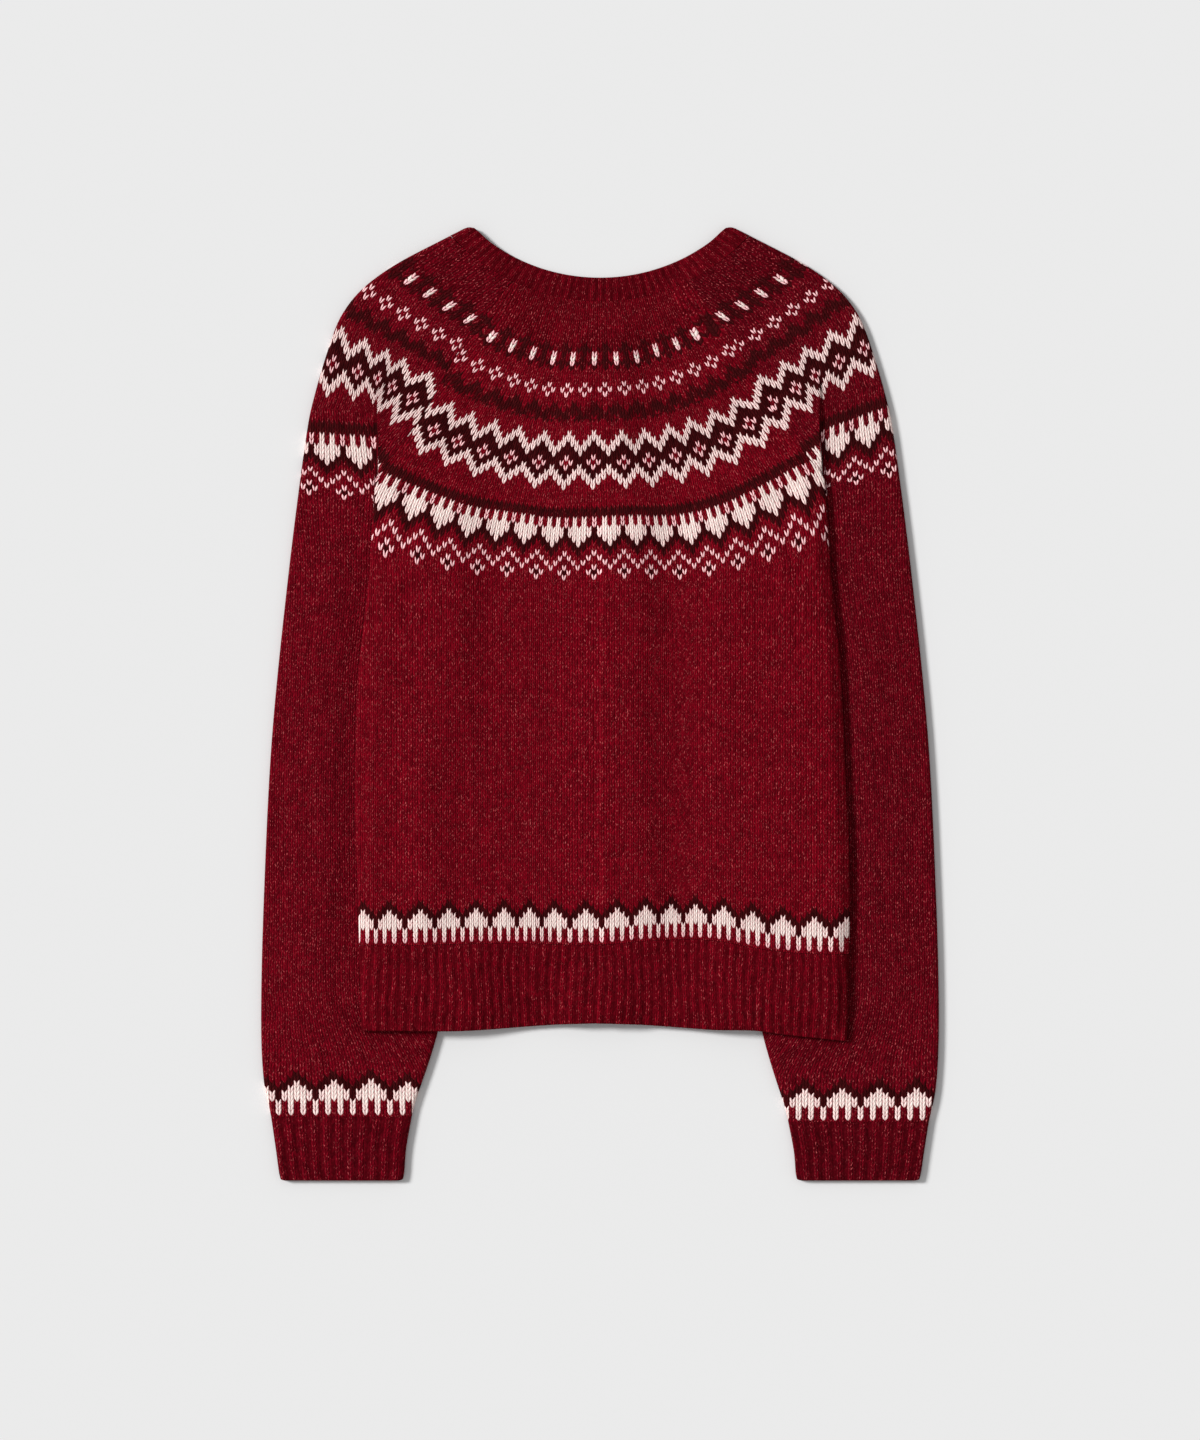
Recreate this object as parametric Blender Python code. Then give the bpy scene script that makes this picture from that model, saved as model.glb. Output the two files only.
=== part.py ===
"""Fair isle cardigan, buttoned and laid flat on its front, with the back up.

Frame: X across the garment, +Y towards the neck, +Z up from the surface that it lies on. The wearer's left
is at -X. Sizes below are millimetres; a mesh's points are written in metres. Each piece is a wall of cloth:
one grid of points for its outer face, one for its inner face, and a rim that joins them.
"""

import math

import bmesh
import bpy
import numpy as np

MM = 0.001

# Cloth
WALL = 2.4  # thickness of the knit
BAND_WALL = 2.0  # thickness of the front bands
LAYER_GAP = 0.6  # air between two layers that lie on each other
SEAM_GAP = 0.3  # between two pieces that are sewn together
TOP = WALL + LAYER_GAP  # underside of the back where it lies on the front
EDGE = 2 * WALL + LAYER_GAP  # full height of a folded edge
SEAM_INSET = SEAM_GAP / 2

# Body lying on the sleeves
SLEEVE_LIFT = EDGE + LAYER_GAP  # how much a sleeve under it raises the body
SLEEVE_LAP = 8.0  # the body is at full height this far before the sleeve's hidden edge
LIFT_RAMP = 26.0  # width over which the body comes down beside the sleeve

# Front bands, outermost first
BUTTON_THICK = 1.5
BUTTON_RADIUS = 8.5
BUTTONS = 7
BUTTON_END = 15.0  # from the outer buttons to the ends of the bands
BUTTONHOLE_BAND_Z = BUTTON_THICK + SEAM_GAP
BUTTON_BAND_Z = BUTTONHOLE_BAND_Z + BAND_WALL + SEAM_GAP
BAND_HALF = 15.0
BAND_FOOT = 38.0  # the fronts are back on the surface this far from the centre
BAND_BACK_LIFT = BUTTON_BAND_Z + WALL + SEAM_GAP - TOP

# Neck: the band's two edges at the centre back and centre front, and where they cross the shoulder fold
NECK_TIP = (96.0, 357.06)
NECK_SEAM_TIP = (112.0, 351.0)
BACK_NECK_Y = 319.5
BACK_NECK_SEAM_Y = 301.75
FRONT_NECK_Y = 268.0
FRONT_NECK_SEAM_Y = 250.0
NECK_DROP_START = 7.0  # the back starts to come down this far inside the front neck
NECK_DROP = 22.0  # and is down on the surface after this width

# Raglan seam, from the back neckband down to the armpit
RAGLAN = ((66.0, 316.8), (86.0, 290.5), (106.0, 264.0), (133.0, 216.0), (168.0, 169.0))
RAGLAN_ROWS = 8
ARMPIT_CENTRE_Y = 161.0  # the row through the armpits is this high at the centre

# Folded outer edge of the sleeve, from the neckband to the cuff
SLEEVE_FOLD = (
    (112.0, 351.0),
    (152.0, 330.0),
    (177.0, 312.0),
    (192.0, 294.0),
    (201.0, 274.0),
    (214.0, 231.0),
    (221.0, 195.0),
    (234.0, 93.0),
    (246.0, -27.0),
    (252.0, -147.0),
    (254.0, -235.0),
    (252.0, -282.0),
    (246.5, -309.0),
)
ARMPIT_FOLD_Y = 174.0  # the row through the armpit reaches the folded edge here

# Inner edge of the sleeve, under the body, from the armpit to the cuff
SLEEVE_INNER = (
    (168.8, 166.0),
    (134.6, 108.0),
    (112.0, 18.0),
    (103.0, -72.0),
    (104.6, -169.5),
    (122.0, -247.5),
    (138.0, -297.0),
    (141.0, -309.0),
)
SLEEVE_ROWS_Y = (166.0, 140.0, 108.0, 65.0, 18.0, -30.0, -85.0, -140.0, -190.0, -235.0, -262.0, -285.0, -308.85)
CUFF_ROWS_Y = (-309.15, -325.0, -341.0, -354.0, -357.0)
CUFF_FOLD = ((246.5, -309.0), (243.0, -333.0), (240.0, -354.0), (237.5, -357.0))
CUFF_INNER = ((141.0, -309.0), (146.0, -333.0), (148.5, -354.0), (151.0, -357.0))

# Side of the body, from the armpit to the hem
BODY_SIDE = (
    (168.0, 169.0),
    (173.5, 87.0),
    (180.0, 25.0),
    (184.0, -80.0),
    (184.0, -150.0),
    (181.5, -244.0),
)
BODY_ROWS_Y = (150.0, 125.0, 96.0, 60.0, 15.0, -35.0, -85.0, -135.0, -180.85)
HEM_ROWS_Y = (-181.15, -200.0, -220.0, -238.5)
HEM_SEAM_ARCH = 3.0  # how much lower the rib seam is at the sides than at the centre
HEM_ARCH = 8.5  # the same for the rib's lower edge
ARCH_HALF = 130.0  # the arch is full at this distance from the centre

WINE = (0.135, 0.004, 0.009, 1.0)
WINE_RIB = (0.112, 0.004, 0.008, 1.0)
HORN = (0.060, 0.028, 0.016, 1.0)


def smooth(value):
    """Goes softly from 0 to 1 as value goes from 0 to 1, and stays there."""
    value = np.clip(value, 0.0, 1.0)
    return value * value * (3.0 - 2.0 * value)


class Curve:
    """A smooth plan curve through a short table of points, read by its share of length or by its height."""

    def __init__(self, table):
        points = np.array(table)
        ends = (2 * points[0] - points[1], 2 * points[-1] - points[-2])
        padded = np.vstack([ends[0], points, ends[1]])
        steps = np.linspace(0.0, 1.0, 12, endpoint=False)[:, None]
        parts = []
        for before, start, stop, after in zip(padded, padded[1:], padded[2:], padded[3:]):
            bend = 2 * before - 5 * start + 4 * stop - after
            twist = 3 * (start - stop) + after - before
            parts.append(start + 0.5 * steps * (stop - before + steps * (bend + steps * twist)))
        self.points = np.vstack(parts + [points[-1:]])
        run = np.linalg.norm(np.diff(self.points, axis=0), axis=1)
        self.share = np.concatenate([[0.0], np.cumsum(run)]) / run.sum()

    def at(self, share):
        """The point at a share of the length."""
        return np.array([np.interp(share, self.share, self.points[:, k]) for k in (0, 1)])

    def x_at(self, height):
        """The distance from the centre line at a height; the curve runs downwards."""
        return float(np.interp(-height, -self.points[:, 1], self.points[:, 0]))

    def share_at(self, height):
        """The share of the length at a height."""
        return float(np.interp(-height, -self.points[:, 1], self.share))


RAGLAN_CURVE = Curve(RAGLAN)
FOLD_CURVE = Curve(SLEEVE_FOLD)
INNER_CURVE = Curve(SLEEVE_INNER)
SIDE_CURVE = Curve(BODY_SIDE)


def circle_radius(edge, centre_y):
    """Radius of the circle through an edge point and its mirror, with its lowest point at centre_y."""
    rise = edge[1] - centre_y
    return (edge[0] ** 2 + rise * rise) / (2 * rise)


def circle_height(x, edge, centre_y):
    """Height at x of that circle's lower half."""
    radius = circle_radius(edge, centre_y)
    return centre_y + radius - np.sqrt(radius * radius - x * x)


def front_raglan_start():
    """Share of the raglan seam that the lower front neck takes away."""
    points = RAGLAN_CURVE.points[RAGLAN_CURVE.points[:, 0] < NECK_SEAM_TIP[0]]
    over = points[:, 1] - circle_height(points[:, 0], NECK_SEAM_TIP, FRONT_NECK_SEAM_Y)
    return float(np.interp(0.0, -over, RAGLAN_CURVE.share[: len(points)]))


FRONT_RAGLAN_START = front_raglan_start()


def front_neck_depth(x, y):
    """How far a point lies inside the front neck opening; negative where the front is under it."""
    radius = circle_radius(NECK_TIP, FRONT_NECK_Y)
    return radius - np.hypot(x, y - FRONT_NECK_Y - radius)


def back_rest(x, y, lift=0.0):
    """Underside of the back: on the front and what lifts it, or down on the surface in the neck opening."""
    return (TOP + lift) * (1.0 - smooth((front_neck_depth(x, y) - NECK_DROP_START) / NECK_DROP))


def band_lift(x, height):
    """Rise towards the front bands: full beside the band, none at BAND_FOOT."""
    return height * smooth((BAND_FOOT - np.abs(x)) / (BAND_FOOT - BAND_HALF))


def raglan_lift(share):
    """Rise of the body along the raglan seam as it comes up onto the sleeve at the armpit."""
    return SLEEVE_LIFT * smooth((share - 0.5) / 0.5)


def side_columns(half_width, sleeve_edge):
    """Columns of the body from its centre line to its side, and the share of the sleeve's lift at each.

    The second column is the edge of the front band. Between the band's foot and the sleeve the cloth is flat, then it climbs over LIFT_RAMP and stays up.
    """
    room = half_width - BAND_FOOT
    full = min(sleeve_edge - SLEEVE_LAP, half_width - 3 * WALL)
    foot = max(full - LIFT_RAMP, BAND_FOOT + 0.3 * room)
    climb = [foot + (full - foot) * share for share in (1 / 3, 2 / 3)]
    columns = [0.0, BAND_HALF + SEAM_INSET, 26.0, BAND_FOOT, (BAND_FOOT + foot) / 2, foot, *climb, full]
    columns += [(full + half_width - WALL) / 2, half_width - WALL, half_width - 0.3 * WALL, half_width]
    lifts = [0.0] * 6 + [float(smooth(1 / 3)), float(smooth(2 / 3))] + [1.0] * 5
    return np.array(columns), np.array(lifts)


def body_rows(seam_share):
    """Rows of half the body from the neckband seam to the hem rib.

    Gives, for each row, the columns, their heights and the lift of the sleeve there. seam_share is where
    on the raglan seam the rows start.
    """
    rows = []
    for share in np.linspace(FRONT_RAGLAN_START, 1.0, RAGLAN_ROWS):
        side = RAGLAN_CURVE.at(share)
        columns, lifts = side_columns(side[0] - SEAM_INSET, side[0] - 3 * WALL)
        fall = (share - FRONT_RAGLAN_START) / (1 - FRONT_RAGLAN_START)
        centre_y = FRONT_NECK_SEAM_Y + (ARMPIT_CENTRE_Y - FRONT_NECK_SEAM_Y) * fall
        heights = circle_height(columns, side, centre_y) - SEAM_INSET
        rows.append((columns, heights, lifts * raglan_lift(share)))
    for row_y in BODY_ROWS_Y:
        rows.append(plain_row(row_y, HEM_SEAM_ARCH))
    if seam_share < FRONT_RAGLAN_START:
        rows = neck_rows(rows[0]) + rows
    return rows


def neck_rows(first_front_row):
    """Rows of the back above the front neck seam, up to the back neck seam."""
    rows = []
    for share in np.linspace(0.0, 1.0, 5)[:-1]:
        side = RAGLAN_CURVE.at(share * FRONT_RAGLAN_START)
        columns, lifts = side_columns(side[0] - SEAM_INSET, side[0] - 3 * WALL)
        top = circle_height(columns, NECK_SEAM_TIP, BACK_NECK_SEAM_Y) - SEAM_INSET
        below = np.interp(columns, first_front_row[0], first_front_row[1])
        rows.append((columns, top + (below - top) * share, lifts * 0.0))
    return rows


def plain_row(row_y, arch):
    """A level row of half the body below the armpit, lower at the sides by arch at the hem."""
    half_width = SIDE_CURVE.x_at(row_y)
    columns, lifts = side_columns(half_width, INNER_CURVE.x_at(row_y))
    fade = float(smooth((BODY_ROWS_Y[0] - row_y) / (BODY_ROWS_Y[0] - HEM_ROWS_Y[0])))
    heights = row_y - arch * fade * smooth(columns / ARCH_HALF)
    return columns, heights, lifts * SLEEVE_LIFT


def hem_rows():
    """Rows of half the hem rib; its lower edge is arched more than its seam."""
    rows = []
    for row_y in HEM_ROWS_Y:
        share = (HEM_ROWS_Y[0] - row_y) / (HEM_ROWS_Y[0] - HEM_ROWS_Y[-1])
        columns, heights, lifts = plain_row(row_y, HEM_SEAM_ARCH + (HEM_ARCH - HEM_SEAM_ARCH) * share)
        rows.append((columns, heights, lifts))
    return rows


def rounded_side(top, bottom, is_back):
    """Rounds the outer edge of the body and brings the back and front within a seam gap of each other."""
    middle = (LAYER_GAP - SEAM_GAP) / 2
    if is_back:
        top[:, -2] -= 0.25 * WALL
        top[:, -1] -= 0.75 * WALL
        bottom[:, -1] -= middle
    else:
        bottom[:, -2] += 0.25 * WALL
        bottom[:, -1] += 0.75 * WALL
        top[:, -1] += middle


def back_piece(rows):
    """Outer and inner grids of a piece of the back: the mirrored left half, then the right half."""
    columns, heights, lifts = (np.array(part) for part in zip(*rows))
    bottom = back_rest(columns, heights, np.maximum(lifts, band_lift(columns, BAND_BACK_LIFT)))
    top = bottom + WALL
    rounded_side(top, bottom, True)
    x, y, high, low = (
        np.hstack([sign * part[:, :0:-1], part])
        for sign, part in ((-1, columns), (1, heights), (1, top), (1, bottom))
    )
    return np.dstack([x, y, high]), np.dstack([x, y, low])


def front_piece(rows, side, band_z):
    """Outer and inner grids of a piece of one front; side is -1 for the wearer's left."""
    columns, heights, lifts = (np.array(part)[:, 1:] for part in zip(*rows))
    bottom = np.maximum(lifts, band_lift(columns, band_z))
    top = bottom + WALL
    rounded_side(top, bottom, False)
    return np.dstack([side * columns, heights, bottom]), np.dstack([side * columns, heights, top])


def fold_stations(fold, inward):
    """Outer and inner stations round a folded edge, from the upper wall to the lower one."""
    radius = EDGE / 2
    outer, inner = [], []
    for angle in np.radians([90.0, 50.0, 15.0, -15.0, -50.0, -90.0]):
        away = math.cos(angle)
        for stations, size in ((outer, radius), (inner, LAYER_GAP / 2)):
            place = fold + inward * (radius - size * away)
            stations.append([*place, radius + size * math.sin(angle)])
    return outer, inner


def seam_stations(edge, outward):
    """Stations at one end of the upper wall where it closes on the lower wall at the underarm seam."""
    radius = EDGE / 2
    outer, inner = [], []
    for angle in np.radians([3.0, 40.0, 90.0]):
        for stations, size in ((outer, radius), (inner, LAYER_GAP / 2)):
            rise = max(size * math.sin(angle), SEAM_INSET)
            place = edge + outward * (radius - size * math.cos(angle))
            stations.append([*place, radius + rise])
    return outer, inner


def sleeve_row(back_end, front_end, fold, closed=True, lift=0.0, bulges=(0.0, 0.0), inset=0.0):
    """Stations of one row of a sleeve, from the back seam over the folded edge to the front seam.

    Above the armpit both ends are open edges at the raglan seams, raised by lift; below it they close on
    each other. bulges bow the back and the front of the row away from the neck, and inset moves the whole
    row that way.
    """
    halves = []
    for end, bulge in zip((back_end, front_end), bulges):
        run = fold - end
        length = np.linalg.norm(run)
        outward = run / length
        across = np.array([outward[1], -outward[0]])
        if closed:
            outer, inner = seam_stations(end, outward)
            shares = np.linspace(EDGE / 2 / length, 1 - EDGE / 2 / length, 6)[1:-1]
        else:
            outer, inner = [], []
            shares = np.linspace(SEAM_INSET / length, 1 - EDGE / 2 / length, 8)[:-1]
        for share in shares:
            place = end + run * share + across * (bulge * 4 * share * (1 - share) + inset)
            rise = lift * float(smooth(1 - 2.2 * share))
            outer.append([*place, EDGE + rise])
            inner.append([*place, TOP + rise])
        halves.append((outer, inner, outward))
    fold_outer, fold_inner = fold_stations(fold, -(halves[0][2] + halves[1][2]) / 2)
    lower_outer = [[x, y, EDGE - z if closed else z - EDGE] for x, y, z in halves[1][0]]
    lower_inner = [[x, y, EDGE - z if closed else z - TOP + WALL] for x, y, z in halves[1][1]]
    return halves[0][0] + fold_outer + lower_outer[::-1], halves[0][1] + fold_inner + lower_inner[::-1]


def sleeve_piece(side):
    """Outer and inner grids of a sleeve with its part of the yoke; side is -1 for the wearer's left."""
    rows = []
    armpit_share = FOLD_CURVE.share_at(ARMPIT_FOLD_Y)
    seam_share = FOLD_CURVE.share_at(NECK_SEAM_TIP[1] - 2 * SEAM_GAP)
    for share in np.linspace(0.0, 1.0, RAGLAN_ROWS + 2):
        back_end = RAGLAN_CURVE.at(share)
        front_end = RAGLAN_CURVE.at(FRONT_RAGLAN_START + (1 - FRONT_RAGLAN_START) * share)
        fold = FOLD_CURVE.at(seam_share + (armpit_share - seam_share) * share)
        lift = float(raglan_lift(share) * smooth((1 - share) / 0.15))
        bow = float(smooth(1 - share / 0.6))
        inset = SEAM_GAP if share == 0.0 else 0.0
        rows.append(sleeve_row(back_end, front_end, fold, False, lift, (2.7 * bow, 5.0 * bow), inset))
    for row_y in SLEEVE_ROWS_Y:
        end = INNER_CURVE.at(INNER_CURVE.share_at(row_y))
        drop = (ARMPIT_FOLD_Y - RAGLAN[-1][1]) * float(smooth((row_y - 18.0) / 148.0))
        fold = FOLD_CURVE.at(FOLD_CURVE.share_at(row_y + drop))
        rows.append(sleeve_row(end, end, fold))
    return mirrored(rows, side)


def cuff_piece(side):
    """Outer and inner grids of a cuff, a closed tube of rib laid flat."""
    fold_curve, inner_curve = Curve(CUFF_FOLD), Curve(CUFF_INNER)
    rows = []
    for row_y in CUFF_ROWS_Y:
        end = np.array([inner_curve.x_at(row_y), row_y])
        fold = np.array([fold_curve.x_at(row_y), row_y])
        rows.append(sleeve_row(end, end, fold))
    return mirrored(rows, side)


def mirrored(rows, side):
    """The rows' outer and inner grids, turned to one side of the garment."""
    flip = np.array([side, 1.0, 1.0])
    return np.array([row[0] for row in rows]) * flip, np.array([row[1] for row in rows]) * flip


def front_neck_points(tip, front_y):
    """Points of a front neck circle, evenly from the shoulder fold to the band's foot and then to the band."""
    radius = circle_radius(tip, front_y)
    start = math.acos(1 - (tip[1] - front_y - EDGE) / radius)
    angles = np.linspace(start, math.asin(BAND_FOOT / radius), 13)
    angles = np.append(angles, np.arcsin(np.array([26.0, BAND_HALF + SEAM_INSET]) / radius))
    inner = radius - SEAM_INSET
    return np.stack([inner * np.sin(angles), front_y + radius - inner * np.cos(angles)], axis=1)


def neckband_half(share):
    """Stations of the right half of the neckband at a share of its width, from centre back to centre front."""
    tip = np.array(NECK_TIP) + (np.array(NECK_SEAM_TIP) - NECK_TIP) * share
    back_y = BACK_NECK_Y + (BACK_NECK_SEAM_Y - BACK_NECK_Y) * share
    front_y = FRONT_NECK_Y + (FRONT_NECK_SEAM_Y - FRONT_NECK_Y) * share
    outer, inner = [], []
    seam_columns = side_columns(RAGLAN[0][0] - SEAM_INSET, RAGLAN[0][0] - 3 * WALL)[0]
    for x in np.concatenate([seam_columns, np.linspace(RAGLAN[0][0], tip[0] - 6.0, 5)[1:]]):
        y = float(circle_height(x, tip, back_y)) + SEAM_INSET
        rest = float(back_rest(x, y))
        outer.append([x, y, rest + WALL])
        inner.append([x, y, rest])
    last = np.array(outer[-1][:2])
    inward = (last - tip) / np.linalg.norm(last - tip)
    for stations, ring in zip((outer, inner), fold_stations(tip, inward)):
        stations.extend(ring)
    for x, y in front_neck_points(tip, front_y):
        outer.append([x, y, 0.0])
        inner.append([x, y, WALL])
    return outer, inner


def neckband_piece():
    """Outer and inner grids of the neckband, from one front end round the back neck to the other."""
    grids = ([], [])
    for share in (0.0, 0.5, 1.0):
        for grid, half in zip(grids, neckband_half(share)):
            half = np.array(half)
            heights = half[:, 2].copy()
            lower = np.arange(len(half)) >= len(half) - 3
            right, left = half.copy(), half.copy()
            right[lower, 2] = heights[lower] + band_lift(half[lower, 0], BUTTONHOLE_BAND_Z)
            left[lower, 2] = heights[lower] + band_lift(half[lower, 0], BUTTON_BAND_Z)
            left[:, 0] *= -1
            grid.append(np.vstack([left[:0:-1], right]))
    return np.array(grids[0]), np.array(grids[1])


def band_piece(band_z):
    """Outer and inner grids of a front band, from the neck to the hem."""
    columns = np.linspace(-BAND_HALF, BAND_HALF, 5)
    bottom_y = HEM_ROWS_Y[-1]
    heights = np.linspace(FRONT_NECK_Y, bottom_y, 9)
    x, y = np.meshgrid(columns, heights)
    outer = np.dstack([x, y, np.full_like(x, band_z)])
    inner = np.dstack([x, y, np.full_like(x, band_z + BAND_WALL)])
    return outer, inner


def material(name, colour, roughness):
    """A plain material of one colour."""
    new = bpy.data.materials.new(name)
    new.use_nodes = True
    shader = new.node_tree.nodes["Principled BSDF"]
    shader.inputs["Base Color"].default_value = colour
    shader.inputs["Roughness"].default_value = roughness
    shader.inputs["Metallic"].default_value = 0.0
    new.diffuse_color = colour
    return new


def add_object(name, mesh, finish):
    """Puts a mesh into the scene as one named piece."""
    mesh.materials.append(finish)
    piece = bpy.data.objects.new(name, mesh)
    bpy.context.scene.collection.objects.link(piece)
    return piece


def add_wall(name, grids, finish):
    """Makes the closed wall between an outer and an inner grid."""
    outer, inner = grids
    rows, columns = outer.shape[:2]
    points = np.vstack([outer.reshape(-1, 3), inner.reshape(-1, 3)]) * MM
    index = np.arange(rows * columns).reshape(rows, columns)
    back = index + rows * columns
    faces = []
    for grid, turned in ((index, False), (back, True)):
        quads = np.stack([grid[:-1, :-1], grid[1:, :-1], grid[1:, 1:], grid[:-1, 1:]], axis=-1).reshape(-1, 4)
        faces += (quads[:, ::-1] if turned else quads).tolist()
    rim = np.concatenate([index[0, :-1], index[:-1, -1], index[-1, :0:-1], index[:0:-1, 0]])
    under = rim + rows * columns
    faces += np.stack([rim, np.roll(rim, -1), np.roll(under, -1), under], axis=-1).tolist()
    mesh = bpy.data.meshes.new(name)
    mesh.from_pydata(points.tolist(), [], faces)
    shape = bmesh.new()
    shape.from_mesh(mesh)
    bmesh.ops.recalc_face_normals(shape, faces=shape.faces)
    shape.to_mesh(mesh)
    shape.free()
    mesh.shade_smooth()
    mesh.set_sharp_from_angle(angle=math.radians(40))
    return add_object(name, mesh, finish)


def add_button(name, height, finish):
    """Makes a round button with a raised rim, its face down on the surface, sewn on at the given height."""
    profile = ((0.0, 0.5), (0.62, 0.5), (0.78, 0.0), (0.94, 0.0), (1.0, 0.35), (1.0, 0.7), (0.9, 1.0), (0.0, 1.0))
    shape = bmesh.new()
    points = [shape.verts.new((r * BUTTON_RADIUS * MM, 0.0, z * BUTTON_THICK * MM)) for r, z in profile]
    edges = [shape.edges.new(pair) for pair in zip(points, points[1:])]
    bmesh.ops.spin(shape, geom=points + edges, axis=(0, 0, 1), cent=(0, 0, 0), angle=2 * math.pi, steps=20)
    bmesh.ops.remove_doubles(shape, verts=shape.verts, dist=1e-6)
    bmesh.ops.recalc_face_normals(shape, faces=shape.faces)
    mesh = bpy.data.meshes.new(name)
    shape.to_mesh(mesh)
    shape.free()
    mesh.shade_smooth()
    mesh.set_sharp_from_angle(angle=math.radians(40))
    piece = add_object(name, mesh, finish)
    piece.location = (0.0, height * MM, 0.0)
    return piece


def build():
    """Makes every piece of the cardigan."""
    for old in list(bpy.data.objects):
        bpy.data.objects.remove(old, do_unlink=True)
    knit = material("wine_knit", WINE, 0.92)
    rib = material("wine_rib", WINE_RIB, 0.94)
    horn = material("horn", HORN, 0.35)

    add_wall("back_panel", back_piece(body_rows(0.0)), knit)
    add_wall("hem_rib_back", back_piece(hem_rows()), rib)
    for side, word, band_z in ((-1, "left", BUTTON_BAND_Z), (1, "right", BUTTONHOLE_BAND_Z)):
        add_wall(f"front_{word}", front_piece(body_rows(FRONT_RAGLAN_START), side, band_z), knit)
        add_wall(f"hem_rib_front_{word}", front_piece(hem_rows(), side, band_z), rib)
        add_wall(f"sleeve_{word}", sleeve_piece(side), knit)
        add_wall(f"cuff_{word}", cuff_piece(side), rib)
    add_wall("neckband", neckband_piece(), rib)
    add_wall("button_band", band_piece(BUTTON_BAND_Z), rib)
    add_wall("buttonhole_band", band_piece(BUTTONHOLE_BAND_Z), rib)
    for number, height in enumerate(
        np.linspace(FRONT_NECK_Y - BUTTON_END, HEM_ROWS_Y[-1] + BUTTON_END, BUTTONS), start=1
    ):
        add_button(f"button_{number}", float(height), horn)


build()
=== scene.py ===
"""Looks of the fair isle cardigan: knitted walls, charted bands, ribs, front bands and horn buttons.

The cardigan is buttoned and lies flat on its front, with its back up. X runs across it, +Y towards the neck
and +Z up from the surface that it lies on. Sizes are millimetres until a mesh is made. Each piece of cloth is
a closed wall between an outer and an inner grid of points, with one line of points for each row of stitches.
"""

import logging
import math
from dataclasses import dataclass
from enum import Enum

import bpy
import numpy as np
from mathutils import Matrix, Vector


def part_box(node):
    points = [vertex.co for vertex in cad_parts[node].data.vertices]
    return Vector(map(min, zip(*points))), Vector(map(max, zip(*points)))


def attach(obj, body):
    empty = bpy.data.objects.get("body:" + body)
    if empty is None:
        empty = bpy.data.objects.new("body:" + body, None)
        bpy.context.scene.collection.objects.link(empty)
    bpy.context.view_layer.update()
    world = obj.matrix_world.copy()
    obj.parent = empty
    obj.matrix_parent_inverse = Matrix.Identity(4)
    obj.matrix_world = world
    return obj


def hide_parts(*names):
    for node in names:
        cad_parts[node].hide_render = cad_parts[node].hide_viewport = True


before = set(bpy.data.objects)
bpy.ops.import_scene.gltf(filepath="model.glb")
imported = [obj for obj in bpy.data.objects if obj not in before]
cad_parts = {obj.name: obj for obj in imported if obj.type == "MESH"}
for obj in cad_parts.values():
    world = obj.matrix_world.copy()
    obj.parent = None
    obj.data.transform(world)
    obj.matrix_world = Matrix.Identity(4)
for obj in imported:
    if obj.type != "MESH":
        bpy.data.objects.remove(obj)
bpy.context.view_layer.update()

log = logging.getLogger("cardigan")

Array = np.ndarray
Table = tuple[tuple[float, float], ...]
Colour = tuple[float, float, float, float]
Material = bpy.types.Material
Piece = bpy.types.Object
Socket = bpy.types.NodeSocket
Tree = bpy.types.NodeTree
Node = bpy.types.Node

MM = 0.001

# Cloth
WALL = 2.4  # thickness of the knit
BAND_WALL = 2.0  # thickness of the front bands
LAYER_GAP = 0.6  # air between two layers
SEAM_INSET = 0.15  # half the gap between two pieces that are sewn together
SLANT = 1.6  # how far the raglan seam runs under the body through the thickness of the knit
TOP = WALL + LAYER_GAP  # underside of the back where it lies on the front
EDGE = 2 * WALL + LAYER_GAP  # full height of a folded edge
ROW = 3.5226  # height of one row of stitches
ROWS = 137  # rows of the back from the neckband to the hem rib
FRONT_ROW_COUNT = 122  # rows of a front
SLEEVE_ROWS = 192  # rows of a sleeve from the neckband to the cuff
WALE = 3.5  # width of one stitch of the hem rib and the front bands
CUFF_WALE = 4.65  # of the cuffs
NECK_WALE = 2.9  # and of the neckband
HEM_RELIEF = 0.2  # half the height of the ribs at the hem
CUFF_RELIEF = 0.25  # at the cuffs
NECK_RELIEF = 0.08  # at the neckband
BAND_RELIEF = 0.15  # and at the front bands
EDGE_RADIUS = 1.2  # of the open edges of the ribs
SHARP_ANGLE = 55.0  # degrees between faces from which an edge stays sharp

# The row that ends each pattern of the yoke, from the neck
SEED_END = 16.0
FLOWER_END = 26.0
DIAMOND_END = 41.5
YOKE_END = 60.0

# The body where it lies on the sleeves
SLEEVE_LIFT = EDGE + LAYER_GAP
SLEEVE_LAP = 8.0  # how far inside the sleeve's edge the full lift starts
LIFT_RAMP = 26.0  # width over which the body climbs
HEM_RAMP = 34.0  # what the hem adds to that width
SIDE_FREE = 3 * WALL  # width beside the body's side that is always lifted

# The crease of a sleeve, where it turns down under the body
CREASE_ROW = 34  # row where it opens
TABLE_END = 57  # last row of the tables of a sleeve's yoke
CREASE_REACH = 42.0  # its usual distance from the raglan seam
ARMPIT_X = 168.3  # where its inner side ends beside the raglan seam
TUCKED_STITCH = -9.5  # lowest stitch number past it, between two columns, so that the step has no pattern
TUCKED_END = 59.0  # row below which any number may show

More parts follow.
